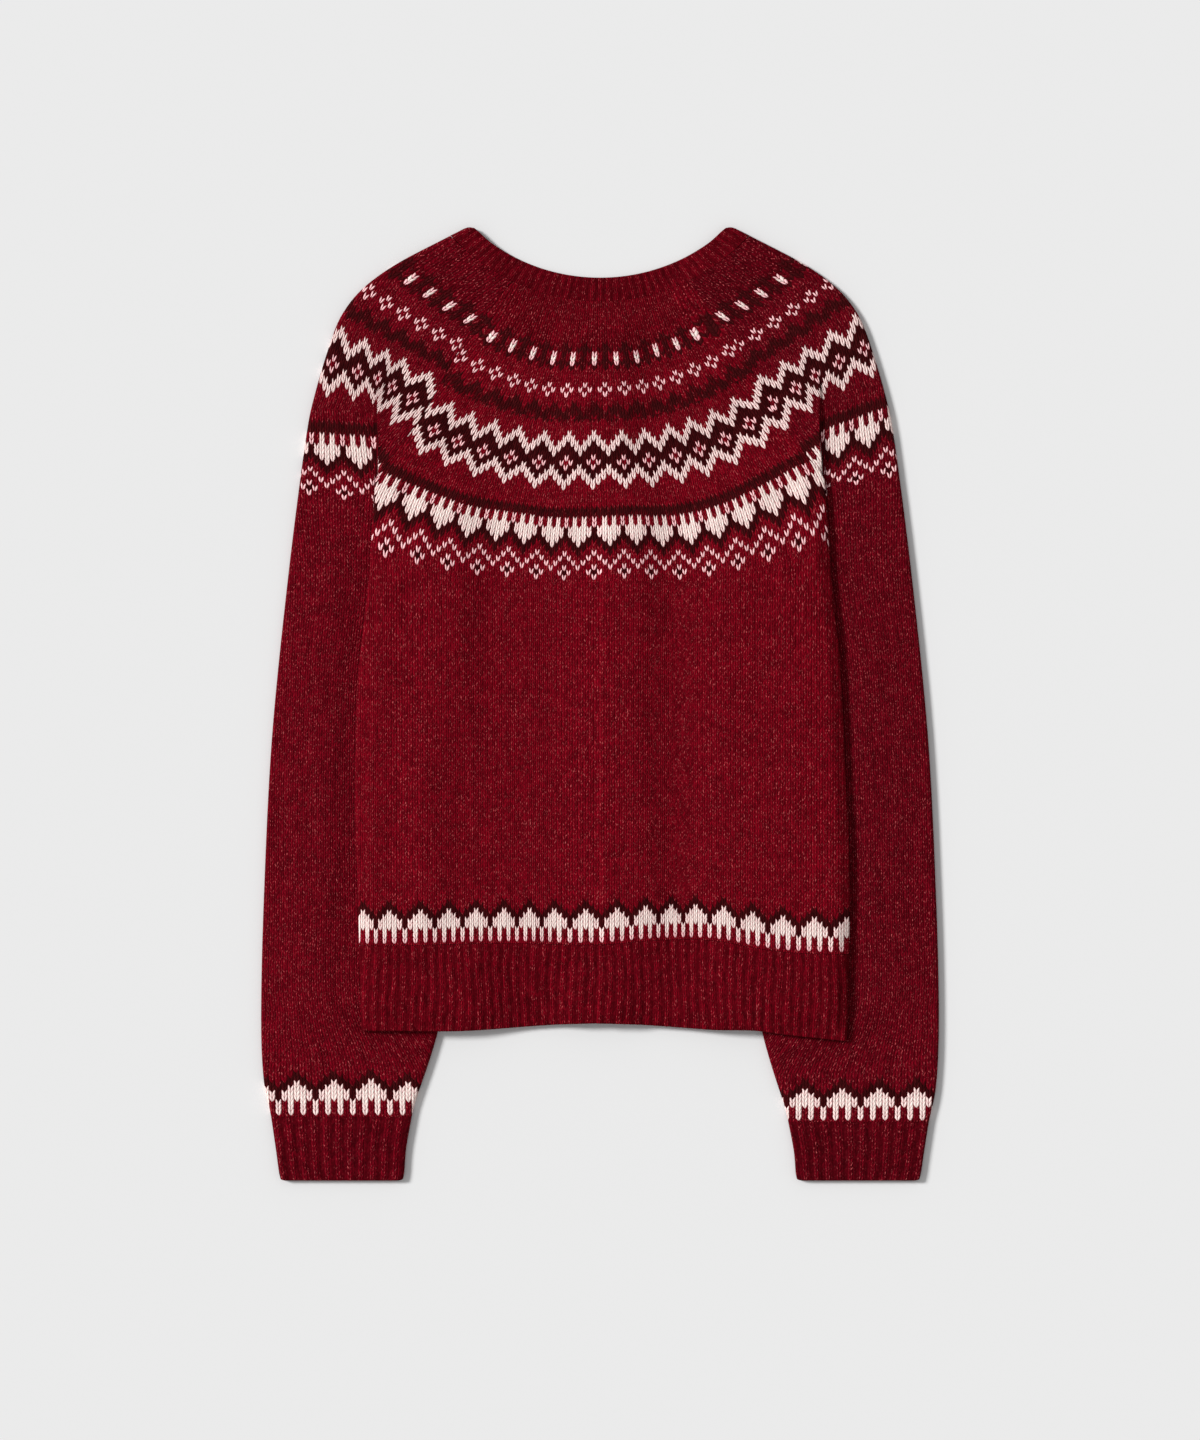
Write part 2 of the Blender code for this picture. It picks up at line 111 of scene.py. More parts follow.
# Front bands
BUTTONS = 7
BUTTON_THICK = 1.5
BUTTON_RADIUS = 8.5
BUTTON_FACE = 0.45  # how far the face is sunk inside the rim
HOLE_PLACE = 1.7  # how far each hole is from the middle, both ways
HOLE_RADIUS = 1.05
BUTTONHOLE_BAND_Z = 1.8  # underside of the lower band
BUTTON_BAND_Z = 4.1  # and of the upper one
BAND_HALF = 15.0  # half the width of a band
BAND_FOOT = 38.0  # distance from the middle where the cloth starts to rise towards the bands
BAND_BACK_LIFT = BUTTON_BAND_Z + WALL + 2 * SEAM_INSET - TOP

# Neck
NECK_TIP = (96.0, 357.06)
NECK_SEAM_TIP = (112.0, 351.0)
BACK_NECK_Y = 319.5
BACK_NECK_SEAM_Y = 301.75
FRONT_NECK_Y = 268.0
FRONT_NECK_SEAM_Y = 250.0
NECK_DROP_START = 7.0  # how far inside the neck opening the back starts to sink
NECK_DROP = 22.0  # and over what width it sinks
NECK_WIDTH = 17.5  # of the neckband
NECK_ROWS = 5.2  # its rows
NECK_START = 6.0  # how many rows above row 0 they start, so that no chart shows on it
TIP_ROUNDING = 1.7  # how far the sides of the corner at each shoulder stand out
# Where the lines of points run, as shares of the neckband's width
NECK_SHARES = np.array([0.0, 0.012, 0.035, 0.07, 0.2, 0.34, 0.48, 0.62, 0.76, 0.9, 1.0])

# Plan curves of the right half
RAGLAN = ((66.0, 316.8), (86.0, 290.5), (106.0, 264.0), (133.0, 216.0), (168.0, 169.0))
ARMPIT_Y = RAGLAN[-1][1]  # where the raglan seam ends
SLEEVE_FOLD = (
    (112.0, 351.0), (152.0, 330.0), (177.0, 312.0), (192.0, 294.0), (201.0, 274.0), (214.0, 231.0),
    (221.0, 195.0), (234.0, 93.0), (246.0, -27.0), (252.0, -147.0), (254.0, -235.0), (252.0, -282.0),
    (246.5, -309.0),
)
SLEEVE_INNER = (
    (168.8, 166.0), (134.6, 108.0), (112.0, 18.0), (103.0, -72.0), (104.6, -169.5), (122.0, -247.5),
    (138.0, -297.0), (141.0, -309.0),
)
CUFF_FOLD = ((246.5, -309.0), (243.0, -333.0), (240.0, -354.0), (237.5, -357.0))
CUFF_INNER = ((141.0, -309.0), (145.2, -333.0), (147.0, -354.0), (149.8, -357.0))
BODY_SIDE = (
    (168.0, 169.0), (173.5, 87.0), (180.0, 25.0), (184.0, -80.0), (184.0, -150.0), (181.5, -244.0),
)
HEM_TOP = -181.15
HEM_BOTTOM = -238.5
HEM_SEAM_ARCH = 3.0  # how far the sides sink below the middle at the hem's seam
HEM_ARCH = 8.5  # and at its edge
ARCH_HALF = 130.0  # distance from the middle where they have sunk fully
ARCH_START = 150.0  # height from which the rows start to sink so
HEM_FADE_ROW = 100.0  # row from which the wandering of the hem's seam fades in
HEM_ROWS = 16.3  # rows of the hem rib
# Where the lines of points run, as shares of the rib's depth
HEM_SHARES = np.concatenate([np.linspace(0.0, 0.97, 17), [0.985, 0.995, 1.0]])
CUFF_TOP = -309.15
CUFF_LENGTH = 47.85
CUFF_ROWS = 13.6
CUFF_SHARES = np.concatenate([np.linspace(0.0, 0.965, 13), [0.98, 0.993, 1.0]])
DROP_ROWS = 24.0  # rows above a cuff over which its drop fades in

# Rounding of edges
SIDE_ROUND = 0.8  # at the body's open sides, as a share of a quarter circle
RAGLAN_ROUND = 0.06  # and at the raglan seam
SEAM_DROP = 0.12  # how far the outer face sinks at the first and the last row
END_ANGLES = np.radians([3.0, 32.0, 60.0, 90.0])  # points of the half circles at the underarm seam
RING_ANGLES = np.radians(np.linspace(90.0, -90.0, 9))  # and of those round a fold

EDGE_STEPS = np.array([0.0, 0.15, 0.45, 0.9, 1.5, 2.4])  # columns beside an edge that is rounded

# How far rows of the yoke wander from their arcs, towards the neck: row, then place across and distance
WANDER = (
    (0.0, ((-60.0, 0.0), (60.0, 0.0))),
    (
        12.5,
        (
            (-96.0, 5.4), (-79.0, -0.4), (-64.0, 0.0), (-49.0, -0.7), (-34.0, -0.6), (-20.0, 0.6),
            (-4.0, 2.0), (12.0, 1.6), (27.0, 1.3), (41.0, 4.1), (57.0, 4.6), (72.0, 6.8), (92.0, 5.8),
        ),
    ),
    (
        19.4,
        (
            (-91.0, 0.8), (-78.0, 1.6), (-62.0, 0.8), (-38.0, 0.9), (-10.0, 3.4), (18.0, 4.1), (44.0, 4.3),
            (70.0, 6.8), (83.0, 7.4), (95.0, 10.0),
        ),
    ),
    (
        34.0,
        (
            (-122.0, -1.3), (-105.0, -2.2), (-86.0, -2.8), (-66.0, -1.8), (-45.0, -1.3), (-25.0, 0.7),
            (-5.0, 2.2), (18.0, 1.7), (36.0, 1.7), (57.0, 2.2), (75.0, 3.1), (94.0, 4.5), (110.0, 8.9),
            (121.0, 12.0), (132.0, 13.8),
        ),
    ),
    (
        49.5,
        (
            (-160.0, 4.0), (-138.0, 2.6), (-97.0, -0.9), (-76.0, 0.1), (-55.0, 0.4), (-35.0, -0.5),
            (-16.0, 0.5), (7.0, 1.7), (27.0, 1.7), (46.0, -0.7), (66.0, -1.7), (86.0, -0.2), (128.0, 8.2),
            (148.0, 13.0),
        ),
    ),
    (80.0, ((-60.0, 0.0), (60.0, 0.0))),
)
# Soft folds of the back over its rest: height on the garment, then place across and rise
FOLDS = (
    (100.0, (
        (-150.0, 6.0), (-115.0, 7.5), (-106.0, 7.2), (-83.0, 3.0), (-60.0, 3.4), (18.0, 7.6), (28.0, 7.3),
        (50.0, 2.6), (95.0, 5.7), (150.0, 6.0),
    )),
    (0.0, (
        (-150.0, 6.0), (-115.0, 7.9), (-106.0, 7.7), (-83.0, 3.8), (-60.0, 3.6), (18.0, 7.6), (28.0, 7.3),
        (50.0, 2.6), (95.0, 6.0), (150.0, 6.2),
    )),
    (-60.0, (
        (-150.0, 6.3), (-134.0, 9.0), (-125.0, 8.6), (-102.0, 5.6), (-85.0, 5.2), (-60.0, 5.0), (20.0, 7.8),
        (30.0, 7.5), (52.0, 3.4), (95.0, 6.0), (150.0, 6.4),
    )),
    (-120.0, (
        (-150.0, 6.3), (-134.0, 9.0), (-125.0, 8.6), (-102.0, 5.8), (-85.0, 5.6), (-60.0, 5.6), (22.0, 7.8),
        (32.0, 7.5), (54.0, 3.8), (95.0, 6.0), (150.0, 6.4),
    )),
)
# How far the body rises from its left and its right side, and over what width
SIDE_ROLL = ((2.4, 15.0), (4.4, 10.0))
# How far the seam above the back's hem rib wanders, upwards
HEM_WANDER = (
    (-157.0, 3.3), (-92.0, 4.3), (-52.0, 2.9), (-10.0, 1.0), (12.0, 2.0), (33.0, 4.4), (52.0, 5.9),
    (92.0, 5.9), (113.0, 2.2), (134.0, -0.85), (158.0, -2.4), (181.0, -2.9),
)
# How far the hem's lower edge lies above its arch
HEM_EDGE = (
    (-178.0, 2.5), (-125.0, 2.2), (-90.0, 1.1), (0.0, -0.5), (41.0, -0.3), (82.0, 0.6), (120.0, 2.2),
    (136.0, 0.0), (163.0, -3.0), (182.0, -5.0),
)


class Side(Enum):
    """A side of the garment, as the sign of X; the wearer's left is at -X."""

    LEFT = -1
    RIGHT = 1

    @property
    def word(self) -> str:
        """The side's name as it is used in piece names."""
        return self.name.lower()


class Slot(Enum):
    """The record's material slots."""

    KNIT = "wine_knit"
    RIB = "wine_rib"
    HORN = "horn_button"


def smooth(value: Array | float) -> Array:
    """Goes softly from 0 to 1 as value goes from 0 to 1, and stays there."""
    value = np.clip(value, 0.0, 1.0)
    return value * value * (3.0 - 2.0 * value)


def level(place: Array | float, table: Table) -> Array:
    """A soft line through a table of (place, level): cubic pieces with the neighbours' slopes, flat outside.

    Args:
        place: Where the line is read.
        table: The places in rising order, each with its level.

    Returns:
        The levels at the places.
    """
    places, levels = np.array(table, float).T
    slopes = np.gradient(levels, places)
    inside = np.clip(place, places[0], places[-1])
    index = np.clip(np.searchsorted(places, inside, side="right") - 1, 0, len(places) - 2)
    gap = places[index + 1] - places[index]
    t = (inside - places[index]) / gap
    rise = t * t * (3 - 2 * t)
    lean = t * (1 - t) ** 2 * slopes[index] - t * t * (1 - t) * slopes[index + 1]
    return levels[index] + (levels[index + 1] - levels[index]) * rise + gap * lean


def between(place: Array, keys: list[float], layers: list[Array]) -> Array:
    """A blend of layers: each weighs 1 at its own key and fades in a straight line to 0 at the next ones.

    Args:
        place: Where the blend is read.
        keys: The key of each layer, rising.
        layers: The layers, which all have the shape of the result.

    Returns:
        The blend.
    """
    at = np.interp(place, keys, np.arange(len(keys)))
    return sum(np.clip(1 - np.abs(at - k), 0, 1) * layer for k, layer in enumerate(layers))


def run_along(points: Array) -> Array:
    """Length along lines of points, from the first point of each line.

    Args:
        points: One line of points, or a grid with one line a row.

    Returns:
        The lengths, 0 at the first point.
    """
    steps = np.linalg.norm(np.diff(points, axis=-2), axis=-1)
    return np.concatenate([np.zeros_like(steps[..., :1]), np.cumsum(steps, axis=-1)], axis=-1)


def unit(vectors: Array) -> Array:
    """Vectors made one long."""
    return vectors / np.linalg.norm(vectors, axis=-1, keepdims=True)


def bowed(plan: Array, along: Array, bow: Array, share: Array) -> Array:
    """Lines of plan points bent into parabolas, square to the lines.

    Args:
        plan: The points, one line a row.
        along: The direction of each line.
        bow: How far the middle of each line moves.
        share: Where each point is on its line, from 0 to 1; the ends stay.

    Returns:
        The moved points.
    """
    across = np.stack([along[:, 1], -along[:, 0]], axis=-1)
    return plan + across[:, None] * (bow[:, None] * 4 * share * (1 - share))[..., None]


class Curve:
    """A smooth plan curve through a short table of points, read by its share of length or by its height."""

    def __init__(self, table: Table) -> None:
        """Draws the curve: between two points it is the cubic whose slopes come from their neighbours.

        Args:
            table: The points, in order.
        """
        points = np.array(table)
        padded = np.vstack([2 * points[0] - points[1], points, 2 * points[-1] - points[-2]])
        steps = np.linspace(0.0, 1.0, 12, endpoint=False)[:, None]
        parts = []
        for before, start, stop, after in zip(padded, padded[1:], padded[2:], padded[3:]):
            bend = 2 * before - 5 * start + 4 * stop - after
            twist = 3 * (start - stop) + after - before
            parts.append(start + 0.5 * steps * (stop - before + steps * (bend + steps * twist)))
        self.points = np.vstack(parts + [points[-1:]])
        run = run_along(self.points)
        self.length = float(run[-1])
        self.share = run / self.length

    def at(self, share: Array | float) -> Array:
        """The points at shares of the length."""
        return np.stack([np.interp(share, self.share, self.points[:, k]) for k in (0, 1)], axis=-1)

    def x_at(self, height: Array | float) -> Array:
        """The distance from the centre line at a height; the curve runs downwards."""
        return np.interp(-np.asarray(height), -self.points[:, 1], self.points[:, 0])

    def share_at(self, height: Array | float) -> Array:
        """The share of the length at a height."""
        return np.interp(-np.asarray(height), -self.points[:, 1], self.share)


RAGLAN_CURVE = Curve(RAGLAN)
FOLD_CURVE = Curve(SLEEVE_FOLD)
INNER_CURVE = Curve(SLEEVE_INNER)
SIDE_CURVE = Curve(BODY_SIDE)


def circle_radius(edge: tuple[float, float], centre_y: float) -> float:
    """Radius of the circle through an edge point and its mirror, with its lowest point at centre_y."""
    rise = edge[1] - centre_y
    return (edge[0] ** 2 + rise * rise) / (2 * rise)


def circle_height(x: Array, edge: tuple[float, float], centre_y: float) -> Array:
    """Height at x of that circle's lower half."""
    radius = circle_radius(edge, centre_y)
    return centre_y + radius - np.sqrt(radius * radius - x * x)


def front_raglan_start() -> float:
    """Share of the raglan seam that the lower front neck takes away.

    Returns:
        The share.
    """
    points = RAGLAN_CURVE.points[RAGLAN_CURVE.points[:, 0] < NECK_SEAM_TIP[0]]
    over = points[:, 1] - circle_height(points[:, 0], NECK_SEAM_TIP, FRONT_NECK_SEAM_Y)
    return float(np.interp(0.0, -over, RAGLAN_CURVE.share[: len(points)]))


FRONT_RAGLAN_START = front_raglan_start()


def back_rest(x: Array, y: Array, lift: Array | float = 0.0) -> Array:
    """Underside of the back: on the front and what lifts it, or down on the surface in the neck opening.

    Args:
        x: Places across.
        y: Heights on the garment.
        lift: What lifts it there.

    Returns:
        Its heights.
    """
    radius = circle_radius(NECK_TIP, FRONT_NECK_Y)
    depth = radius - np.hypot(x, y - FRONT_NECK_Y - radius)
    return (TOP + lift) * (1.0 - smooth((depth - NECK_DROP_START) / NECK_DROP))


def band_lift(x: Array, height: float) -> Array:
    """Rise towards the front bands: full beside the band, none at BAND_FOOT."""
    return height * smooth((BAND_FOOT - np.abs(x)) / (BAND_FOOT - BAND_HALF))


def raglan_lift(share: Array) -> Array:
    """Rise of the body along the raglan seam as it comes up onto the sleeve at the armpit."""
    return SLEEVE_LIFT * smooth((share - 0.5) / 0.5)


@dataclass(frozen=True)
class Ridge:
    """A soft ridge, or a trough where its height is negative, along a straight line on the cloth.

    Going from its start to its end, it reaches as far as reach on the right hand and far_reach on the left.
    """

    start: tuple[float, float]
    end: tuple[float, float]
    reach: float
    height: float
    far_reach: float = 0.0

    def rise(self, x: Array, y: Array) -> Array:
        """Height that it adds: full on its line, softly none at its reach, faded over its last quarters.

        Args:
            x: Places across.
            y: Heights on the garment.

        Returns:
            The heights that it adds there.
        """
        start, run = np.array(self.start), np.array(self.end) - np.array(self.start)
        length = float(np.hypot(*run))
        along = ((x - start[0]) * run[0] + (y - start[1]) * run[1]) / length**2
        across = ((x - start[0]) * run[1] - (y - start[1]) * run[0]) / length
        fade = smooth(along / 0.25) * smooth((1 - along) / 0.25)
        reach = np.where(across > 0, self.reach, self.far_reach or self.reach)
        return self.height * smooth(1 - np.abs(across) / reach) * fade


def drape(ridges: tuple[Ridge, ...], x: Array, y: Array) -> Array:
    """Height of the cloth over its rest: every ridge, and never below the rest."""
    return np.maximum(sum((ridge.rise(x, y) for ridge in ridges), np.zeros_like(x)), 0.0)


def new_piece(mesh: bpy.types.Mesh, finish: Material) -> Piece:
    """Puts a mesh with its finish into the scene.

    Args:
        mesh: The finished mesh.
        finish: Its material.

    Returns:
        The new object, at the origin, with the mesh's name.
    """
    mesh.materials.append(finish)
    piece = bpy.data.objects.new(mesh.name, mesh)
    bpy.context.scene.collection.objects.link(piece)
    return piece


def ring_quads(index: Array) -> Array:
    """Quads between closed rings of points, given one ring of point numbers a row."""
    after = np.roll(index, -1, axis=1)
    return np.stack([index[:-1], index[1:], after[1:], after[:-1]], axis=-1).reshape(-1, 4)


def smooth_piece(name: str, points: Array, faces: list[list[int]], finish: Material) -> Piece:
    """A smooth piece of points in millimetres and faces of any number of corners.

    Args:
        name: Its name.
        points: The points.
        faces: The point numbers of each face, outward.
        finish: Its material.

    Returns:
        The new object.
    """
    mesh = bpy.data.meshes.new(name)
    mesh.from_pydata((points * MM).tolist(), [], faces)
    mesh.shade_smooth()
    return new_piece(mesh, finish)


@dataclass
class Wall:
    """A wall of cloth: outer and inner grids of points, and where its stitches are on them.

    u counts stitches across and is given for the upper and the lower side of each strip of faces, so that a
    band may have wider stitches than the next; v counts rows from the neck.
    """

    outer: Array
    inner: Array
    u_top: Array
    u_bottom: Array
    v: Array

    def faces(self) -> tuple[Array, Array]:
        """The corners of all quads, and the stitch place of each corner.

        Returns:
            Four point numbers a quad, and four places in u and v.
        """
        rows, columns = self.outer.shape[:2]
        index = np.arange(rows * columns).reshape(rows, columns)
        corners = [index[:-1, :-1], index[1:, :-1], index[1:, 1:], index[:-1, 1:]]
        u = [self.u_top[:, :-1], self.u_bottom[:, :-1], self.u_bottom[:, 1:], self.u_top[:, 1:]]
        v = [self.v[:-1, :-1], self.v[1:, :-1], self.v[1:, 1:], self.v[:-1, 1:]]
        quads = np.stack(corners, axis=-1).reshape(-1, 4)
        places = np.stack([np.stack(u, axis=-1), np.stack(v, axis=-1)], axis=-1).reshape(-1, 4, 2)
        rim = np.concatenate([index[0, :-1], index[:-1, -1], index[-1, :0:-1], index[:0:-1, 0]])
        under = rim + rows * columns
        rim_quads = np.stack([rim, np.roll(rim, -1), np.roll(under, -1), under], axis=-1)
        point_u = np.vstack([self.u_top, self.u_bottom[-1:]])
        points = np.stack([point_u, self.v], axis=-1).reshape(-1, 2)
        rim_places = np.stack([points[rim], np.roll(points[rim], -1, axis=0)] * 2, axis=1)
        rim_places[:, 2:] = rim_places[:, 3:1:-1]
        inner_quads = quads[:, ::-1] + rows * columns
        return (
            np.vstack([quads, inner_quads, rim_quads]),
            np.concatenate([places, places[:, ::-1], rim_places]),
        )

    def build(self, name: str, finish: Material) -> Piece:
        """Makes the closed mesh, faces outward.

        Args:
            name: The piece's name.
            finish: Its material.

        Returns:
            The new object, at the origin.
        """
        points = np.vstack([self.outer.reshape(-1, 3), self.inner.reshape(-1, 3)]) * MM
        quads, places = self.faces()
        a, b, c, d = (points[quads[:, k]] for k in range(4))
        volume = (np.cross(a, b) * c).sum() + (np.cross(a, c) * d).sum()
        if volume < 0:
            quads, places = quads[:, ::-1], places[:, ::-1]
        mesh = bpy.data.meshes.new(name)
        mesh.vertices.add(len(points))
        mesh.vertices.foreach_set("co", points.astype(np.float32).ravel())
        mesh.loops.add(quads.size)
        mesh.loops.foreach_set("vertex_index", quads.astype(np.int32).ravel())
        mesh.polygons.add(len(quads))
        mesh.polygons.foreach_set("loop_start", np.arange(0, quads.size, 4, dtype=np.int32))
        mesh.polygons.foreach_set("loop_total", np.full(len(quads), 4, dtype=np.int32))
        layer = mesh.uv_layers.new(name="stitch")
        layer.data.foreach_set("uv", places.astype(np.float32).ravel())
        mesh.update(calc_edges=True)
        mesh.shade_smooth()
        mesh.set_sharp_from_angle(angle=math.radians(SHARP_ANGLE))
        return new_piece(mesh, finish)


@dataclass(frozen=True)
class Cut:
    """The flat cut of a piece of cloth in metres and square metres, and how it lies."""

    width: float
    length: float
    area: float
    held: str
    rests_on: tuple[str, ...]

    def declare(self, piece: Piece) -> None:
        """Does nothing with the piece."""


def dress(piece: Piece, slot: Slot, cut: Cut | None, *nodes: str) -> Piece:
    """Puts a finished piece on the body of the part, in place of CAD nodes.

    Args:
        piece: The new piece.
        slot: The record's slot for its finish; not used.
        cut: Its flat cut, if it is cloth.
        *nodes: The CAD nodes that it stands for.

    Returns:
        The piece.
    """
    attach(piece, "root")
    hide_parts(*nodes)
    if cut:
        cut.declare(piece)
    log.info("%s: %d faces", piece.name, len(piece.data.polygons))
    return piece


def pinch(wall: Wall, rows: Array, shares: Array) -> None:
    """Brings the two faces of some rows together to a share of their distance, which rounds an open edge.

    Args:
        wall: The wall, which is changed.
        rows: Its lines of points.
        shares: What each line keeps.
    """
    middle = (wall.outer[rows] + wall.inner[rows]) / 2
    for grid in (wall.outer, wall.inner):
        grid[rows] = middle + (grid[rows] - middle) * shares[:, None, None]


def edge_shares(distances: Array, radius: float) -> Array:
    """Share of the full thickness at distances from an edge that is a half circle."""
    return np.maximum(np.sqrt(np.clip(1 - (1 - distances / radius) ** 2, 0.0, 1.0)), 0.12)


# ------------ the body


@dataclass(frozen=True)
class RowSet:
    """How the rows of the back or of a front run."""

    neck_y: float  # height of row 0 at the middle
    pitch: float  # height of a row
    neck_curve: float  # curve of row 0, one over its radius
    flat_row: float  # the row at which the curve is gone
    first_chart_row: float  # the chart's row on row 0
    wanders: bool  # whether the rows wander by the tables

    def heights(self, row: Array, x: Array) -> Array:
        """Heights of rows at places across.

        A row is an arc whose curve fades from the neck's to none at flat_row. Lower down its sides sink by
        the hem's soft arch, and the back's rows wander by the tables.

        Args:
            row: Row numbers.
            x: Places across.

        Returns:
            The heights.
        """
        centre = self.neck_y - self.pitch * row
        curve = self.neck_curve * np.maximum(0.0, 1 - row / self.flat_row)
        bow = curve * x * x / (1 + np.sqrt(np.clip(1 - (curve * x) ** 2, 0.0, 1.0)))
        fade = smooth((ARCH_START - centre) / (ARCH_START - HEM_TOP))
        total = centre + bow - HEM_SEAM_ARCH * fade * smooth(np.abs(x) / ARCH_HALF)
        if self.wanders:
            fade = smooth((row - HEM_FADE_ROW) / (ROWS - HEM_FADE_ROW))
            total = total + wander(row, x) + level(x, HEM_WANDER) * fade
        return total

    def ends(self, row: Array, side: int) -> Array:
        """Half width of each row at one side, where it meets the raglan seam or the side of the body.

        Args:
            row: Row numbers.
            side: -1 for the left or 1 for the right.

        Returns:
            The half widths.
        """
        half = np.full_like(row, 120.0)
        for _ in range(60):  # each time halves what is missing, whatever the start
            height = self.heights(row, side * half)
            edge = np.where(height > ARMPIT_Y, RAGLAN_CURVE.x_at(height), SIDE_CURVE.x_at(height))
            half = 0.5 * (half + edge)
        return half


def wander(row: Array, x: Array) -> Array:
    """Wandering of the yoke's rows: each table's soft line across, blended from table to table by row."""
    return between(row, [key for key, _ in WANDER], [level(x, table) for _, table in WANDER])


BACK_ROWS = RowSet(BACK_NECK_SEAM_Y, ROW, 1 / 151.97, 72.0, 0.0, True)
FRONT_ROWS = RowSet(FRONT_NECK_SEAM_Y, 3.5316, 0.00888, 45.0, 15.0, False)


def sway(x: Array, height: Array) -> Array:
    """How far the sides of the body lie towards +X near the hem."""
    return 3.1 * smooth((-30.0 - height) / 130.0) * smooth(np.abs(x) / 120.0)


def soften(values: Array) -> Array:
    """Averages a line of values with its neighbours five times.

    Args:
        values: The values, in order.

    Returns:
        The averages.
    """
    for _ in range(5):
        padded = np.concatenate([values[:1], values, values[-1:]])
        values = (padded[:-2] + 2 * padded[1:-1] + padded[2:]) / 4
    return values


def lift_share(x: Array, half: Array, height: Array) -> Array:
    """Share of the sleeve's lift at places across a row: it climbs over LIFT_RAMP towards the side.

    Args:
        x: Places across, one line a row.
        half: Half width of each row.
        height: Height of each row at its end.

    Returns:
        The shares.
    """
    sleeve_edge = np.where(height > ARMPIT_Y, half - SIDE_FREE, INNER_CURVE.x_at(height))
    full = np.minimum(sleeve_edge - SLEEVE_LAP, half - SIDE_FREE)
    ramp = LIFT_RAMP + HEM_RAMP * smooth((-120.0 - height) / 60.0)
    foot = np.maximum(full - ramp, BAND_FOOT + 0.05 * (half - BAND_FOOT))
    full, foot = soften(full), soften(foot)
    return smooth((np.abs(x) - foot[:, None]) / (full - foot)[:, None])


def edge_drop(distance: Array, share: Array | float) -> Array:
    """How far the outer face sinks beside an edge: a quarter circle of the wall's thickness, times share."""
    inside = np.clip(1 - distance / WALL, 0.0, 1.0)
    return share * WALL * (1 - np.sqrt(1 - inside * inside))


@dataclass(frozen=True)
class Band:
    """A band of rows with common columns: its last row, its middle row, its repeat and where repeats lie."""

    last: float
    middle: float
    repeat: int
    places: tuple[float, ...]

    def number(self, x: Array) -> Array:
        """Stitch numbers at places across the middle row: a straight line between one repeat and the next.

        Args:
            x: Places across.

        Returns:
            The numbers, 0 at the first place.
        """
        places = np.array(self.places)
        pitch = (places[-1] - places[0]) / (len(places) - 1)
        # twelve even repeats go on past each end
        line = np.concatenate([[places[0] - 12 * pitch], places, [places[-1] + 12 * pitch]])
        count = np.concatenate([[-12.0], np.arange(len(places)), [len(places) + 11.0]])
        return self.repeat * np.interp(x, line, count)


COLUMN_LEAN = 1.3  # how much more the columns of the yoke lean than square to the rows
BODY_BANDS = (
    Band(
        SEED_END,
        12.0,
        4,
        (-98.0, -79.0, -64.0, -49.0, -34.0, -20.0, -4.0, 12.0, 27.0, 41.0, 56.0, 69.0, 95.0),
    ),
    Band(
        FLOWER_END,
        19.4,
        4,
        (-90.3, -77.1, -63.5, -51.2, -38.0, -24.4, -11.3, 3.75, 18.3, 31.6, 43.5, 56.7, 69.9, 82.6, 95.3),
    ),
    Band(
        DIAMOND_END,
        34.0,
        6,
        (-122.0, -105.0, -86.0, -66.0, -45.0, -25.0, -5.0, 18.0, 36.0, 56.0, 73.3, 92.2, 110.0, 129.0),
    ),
    Band(
        YOKE_END,
        49.5,
        6,
        (
            -160.0, -138.0, -117.5, -97.0, -76.0, -55.5, -35.0, -16.0, 7.5, 27.0, 46.0, 67.0, 87.0,
            107.3, 128.0, 148.0,
        ),
    ),
    Band(
        math.inf,
        0.0,
        6,
        (
            -177.0, -157.5, -133.7, -112.7, -92.4, -71.4, -52.5, -34.3, -10.5, 13.0, 34.2, 53.2, 71.3,
            92.4, 114.0, 136.5, 160.0, 184.4,
        ),
    ),
)


def body_stitches(rows: RowSet, row: Array, x: Array, chart_row: Array) -> Array:
    """Stitch numbers across the body.

    In the yoke a column runs square to the rows, so a point is first carried along its column to the middle
    row of its band: across by the rise to that row times the row's slant there.

    Args:
        rows: The rows' shape.
        row: The row of each line of points, as a column.
        x: Places across.
        chart_row: The chart row that decides the band of each line, as a column.

    Returns:
        Stitch numbers, 0 at the middle of a repeat.
    """
    slant = np.clip(rows.neck_curve * np.maximum(0.0, 1 - row / rows.flat_row) * x, -0.9, 0.9)
    here = rows.heights(row, x)
    numbers = []
    for band in BODY_BANDS:
        carried = x
        if math.isfinite(band.last):
            rise = rows.heights(np.full_like(row, band.middle - rows.first_chart_row), x) - here
            carried = x - COLUMN_LEAN * slant * np.sqrt(1 - slant * slant) * rise
        numbers.append(band.number(carried))
    return np.select([chart_row < band.last for band in BODY_BANDS], numbers)


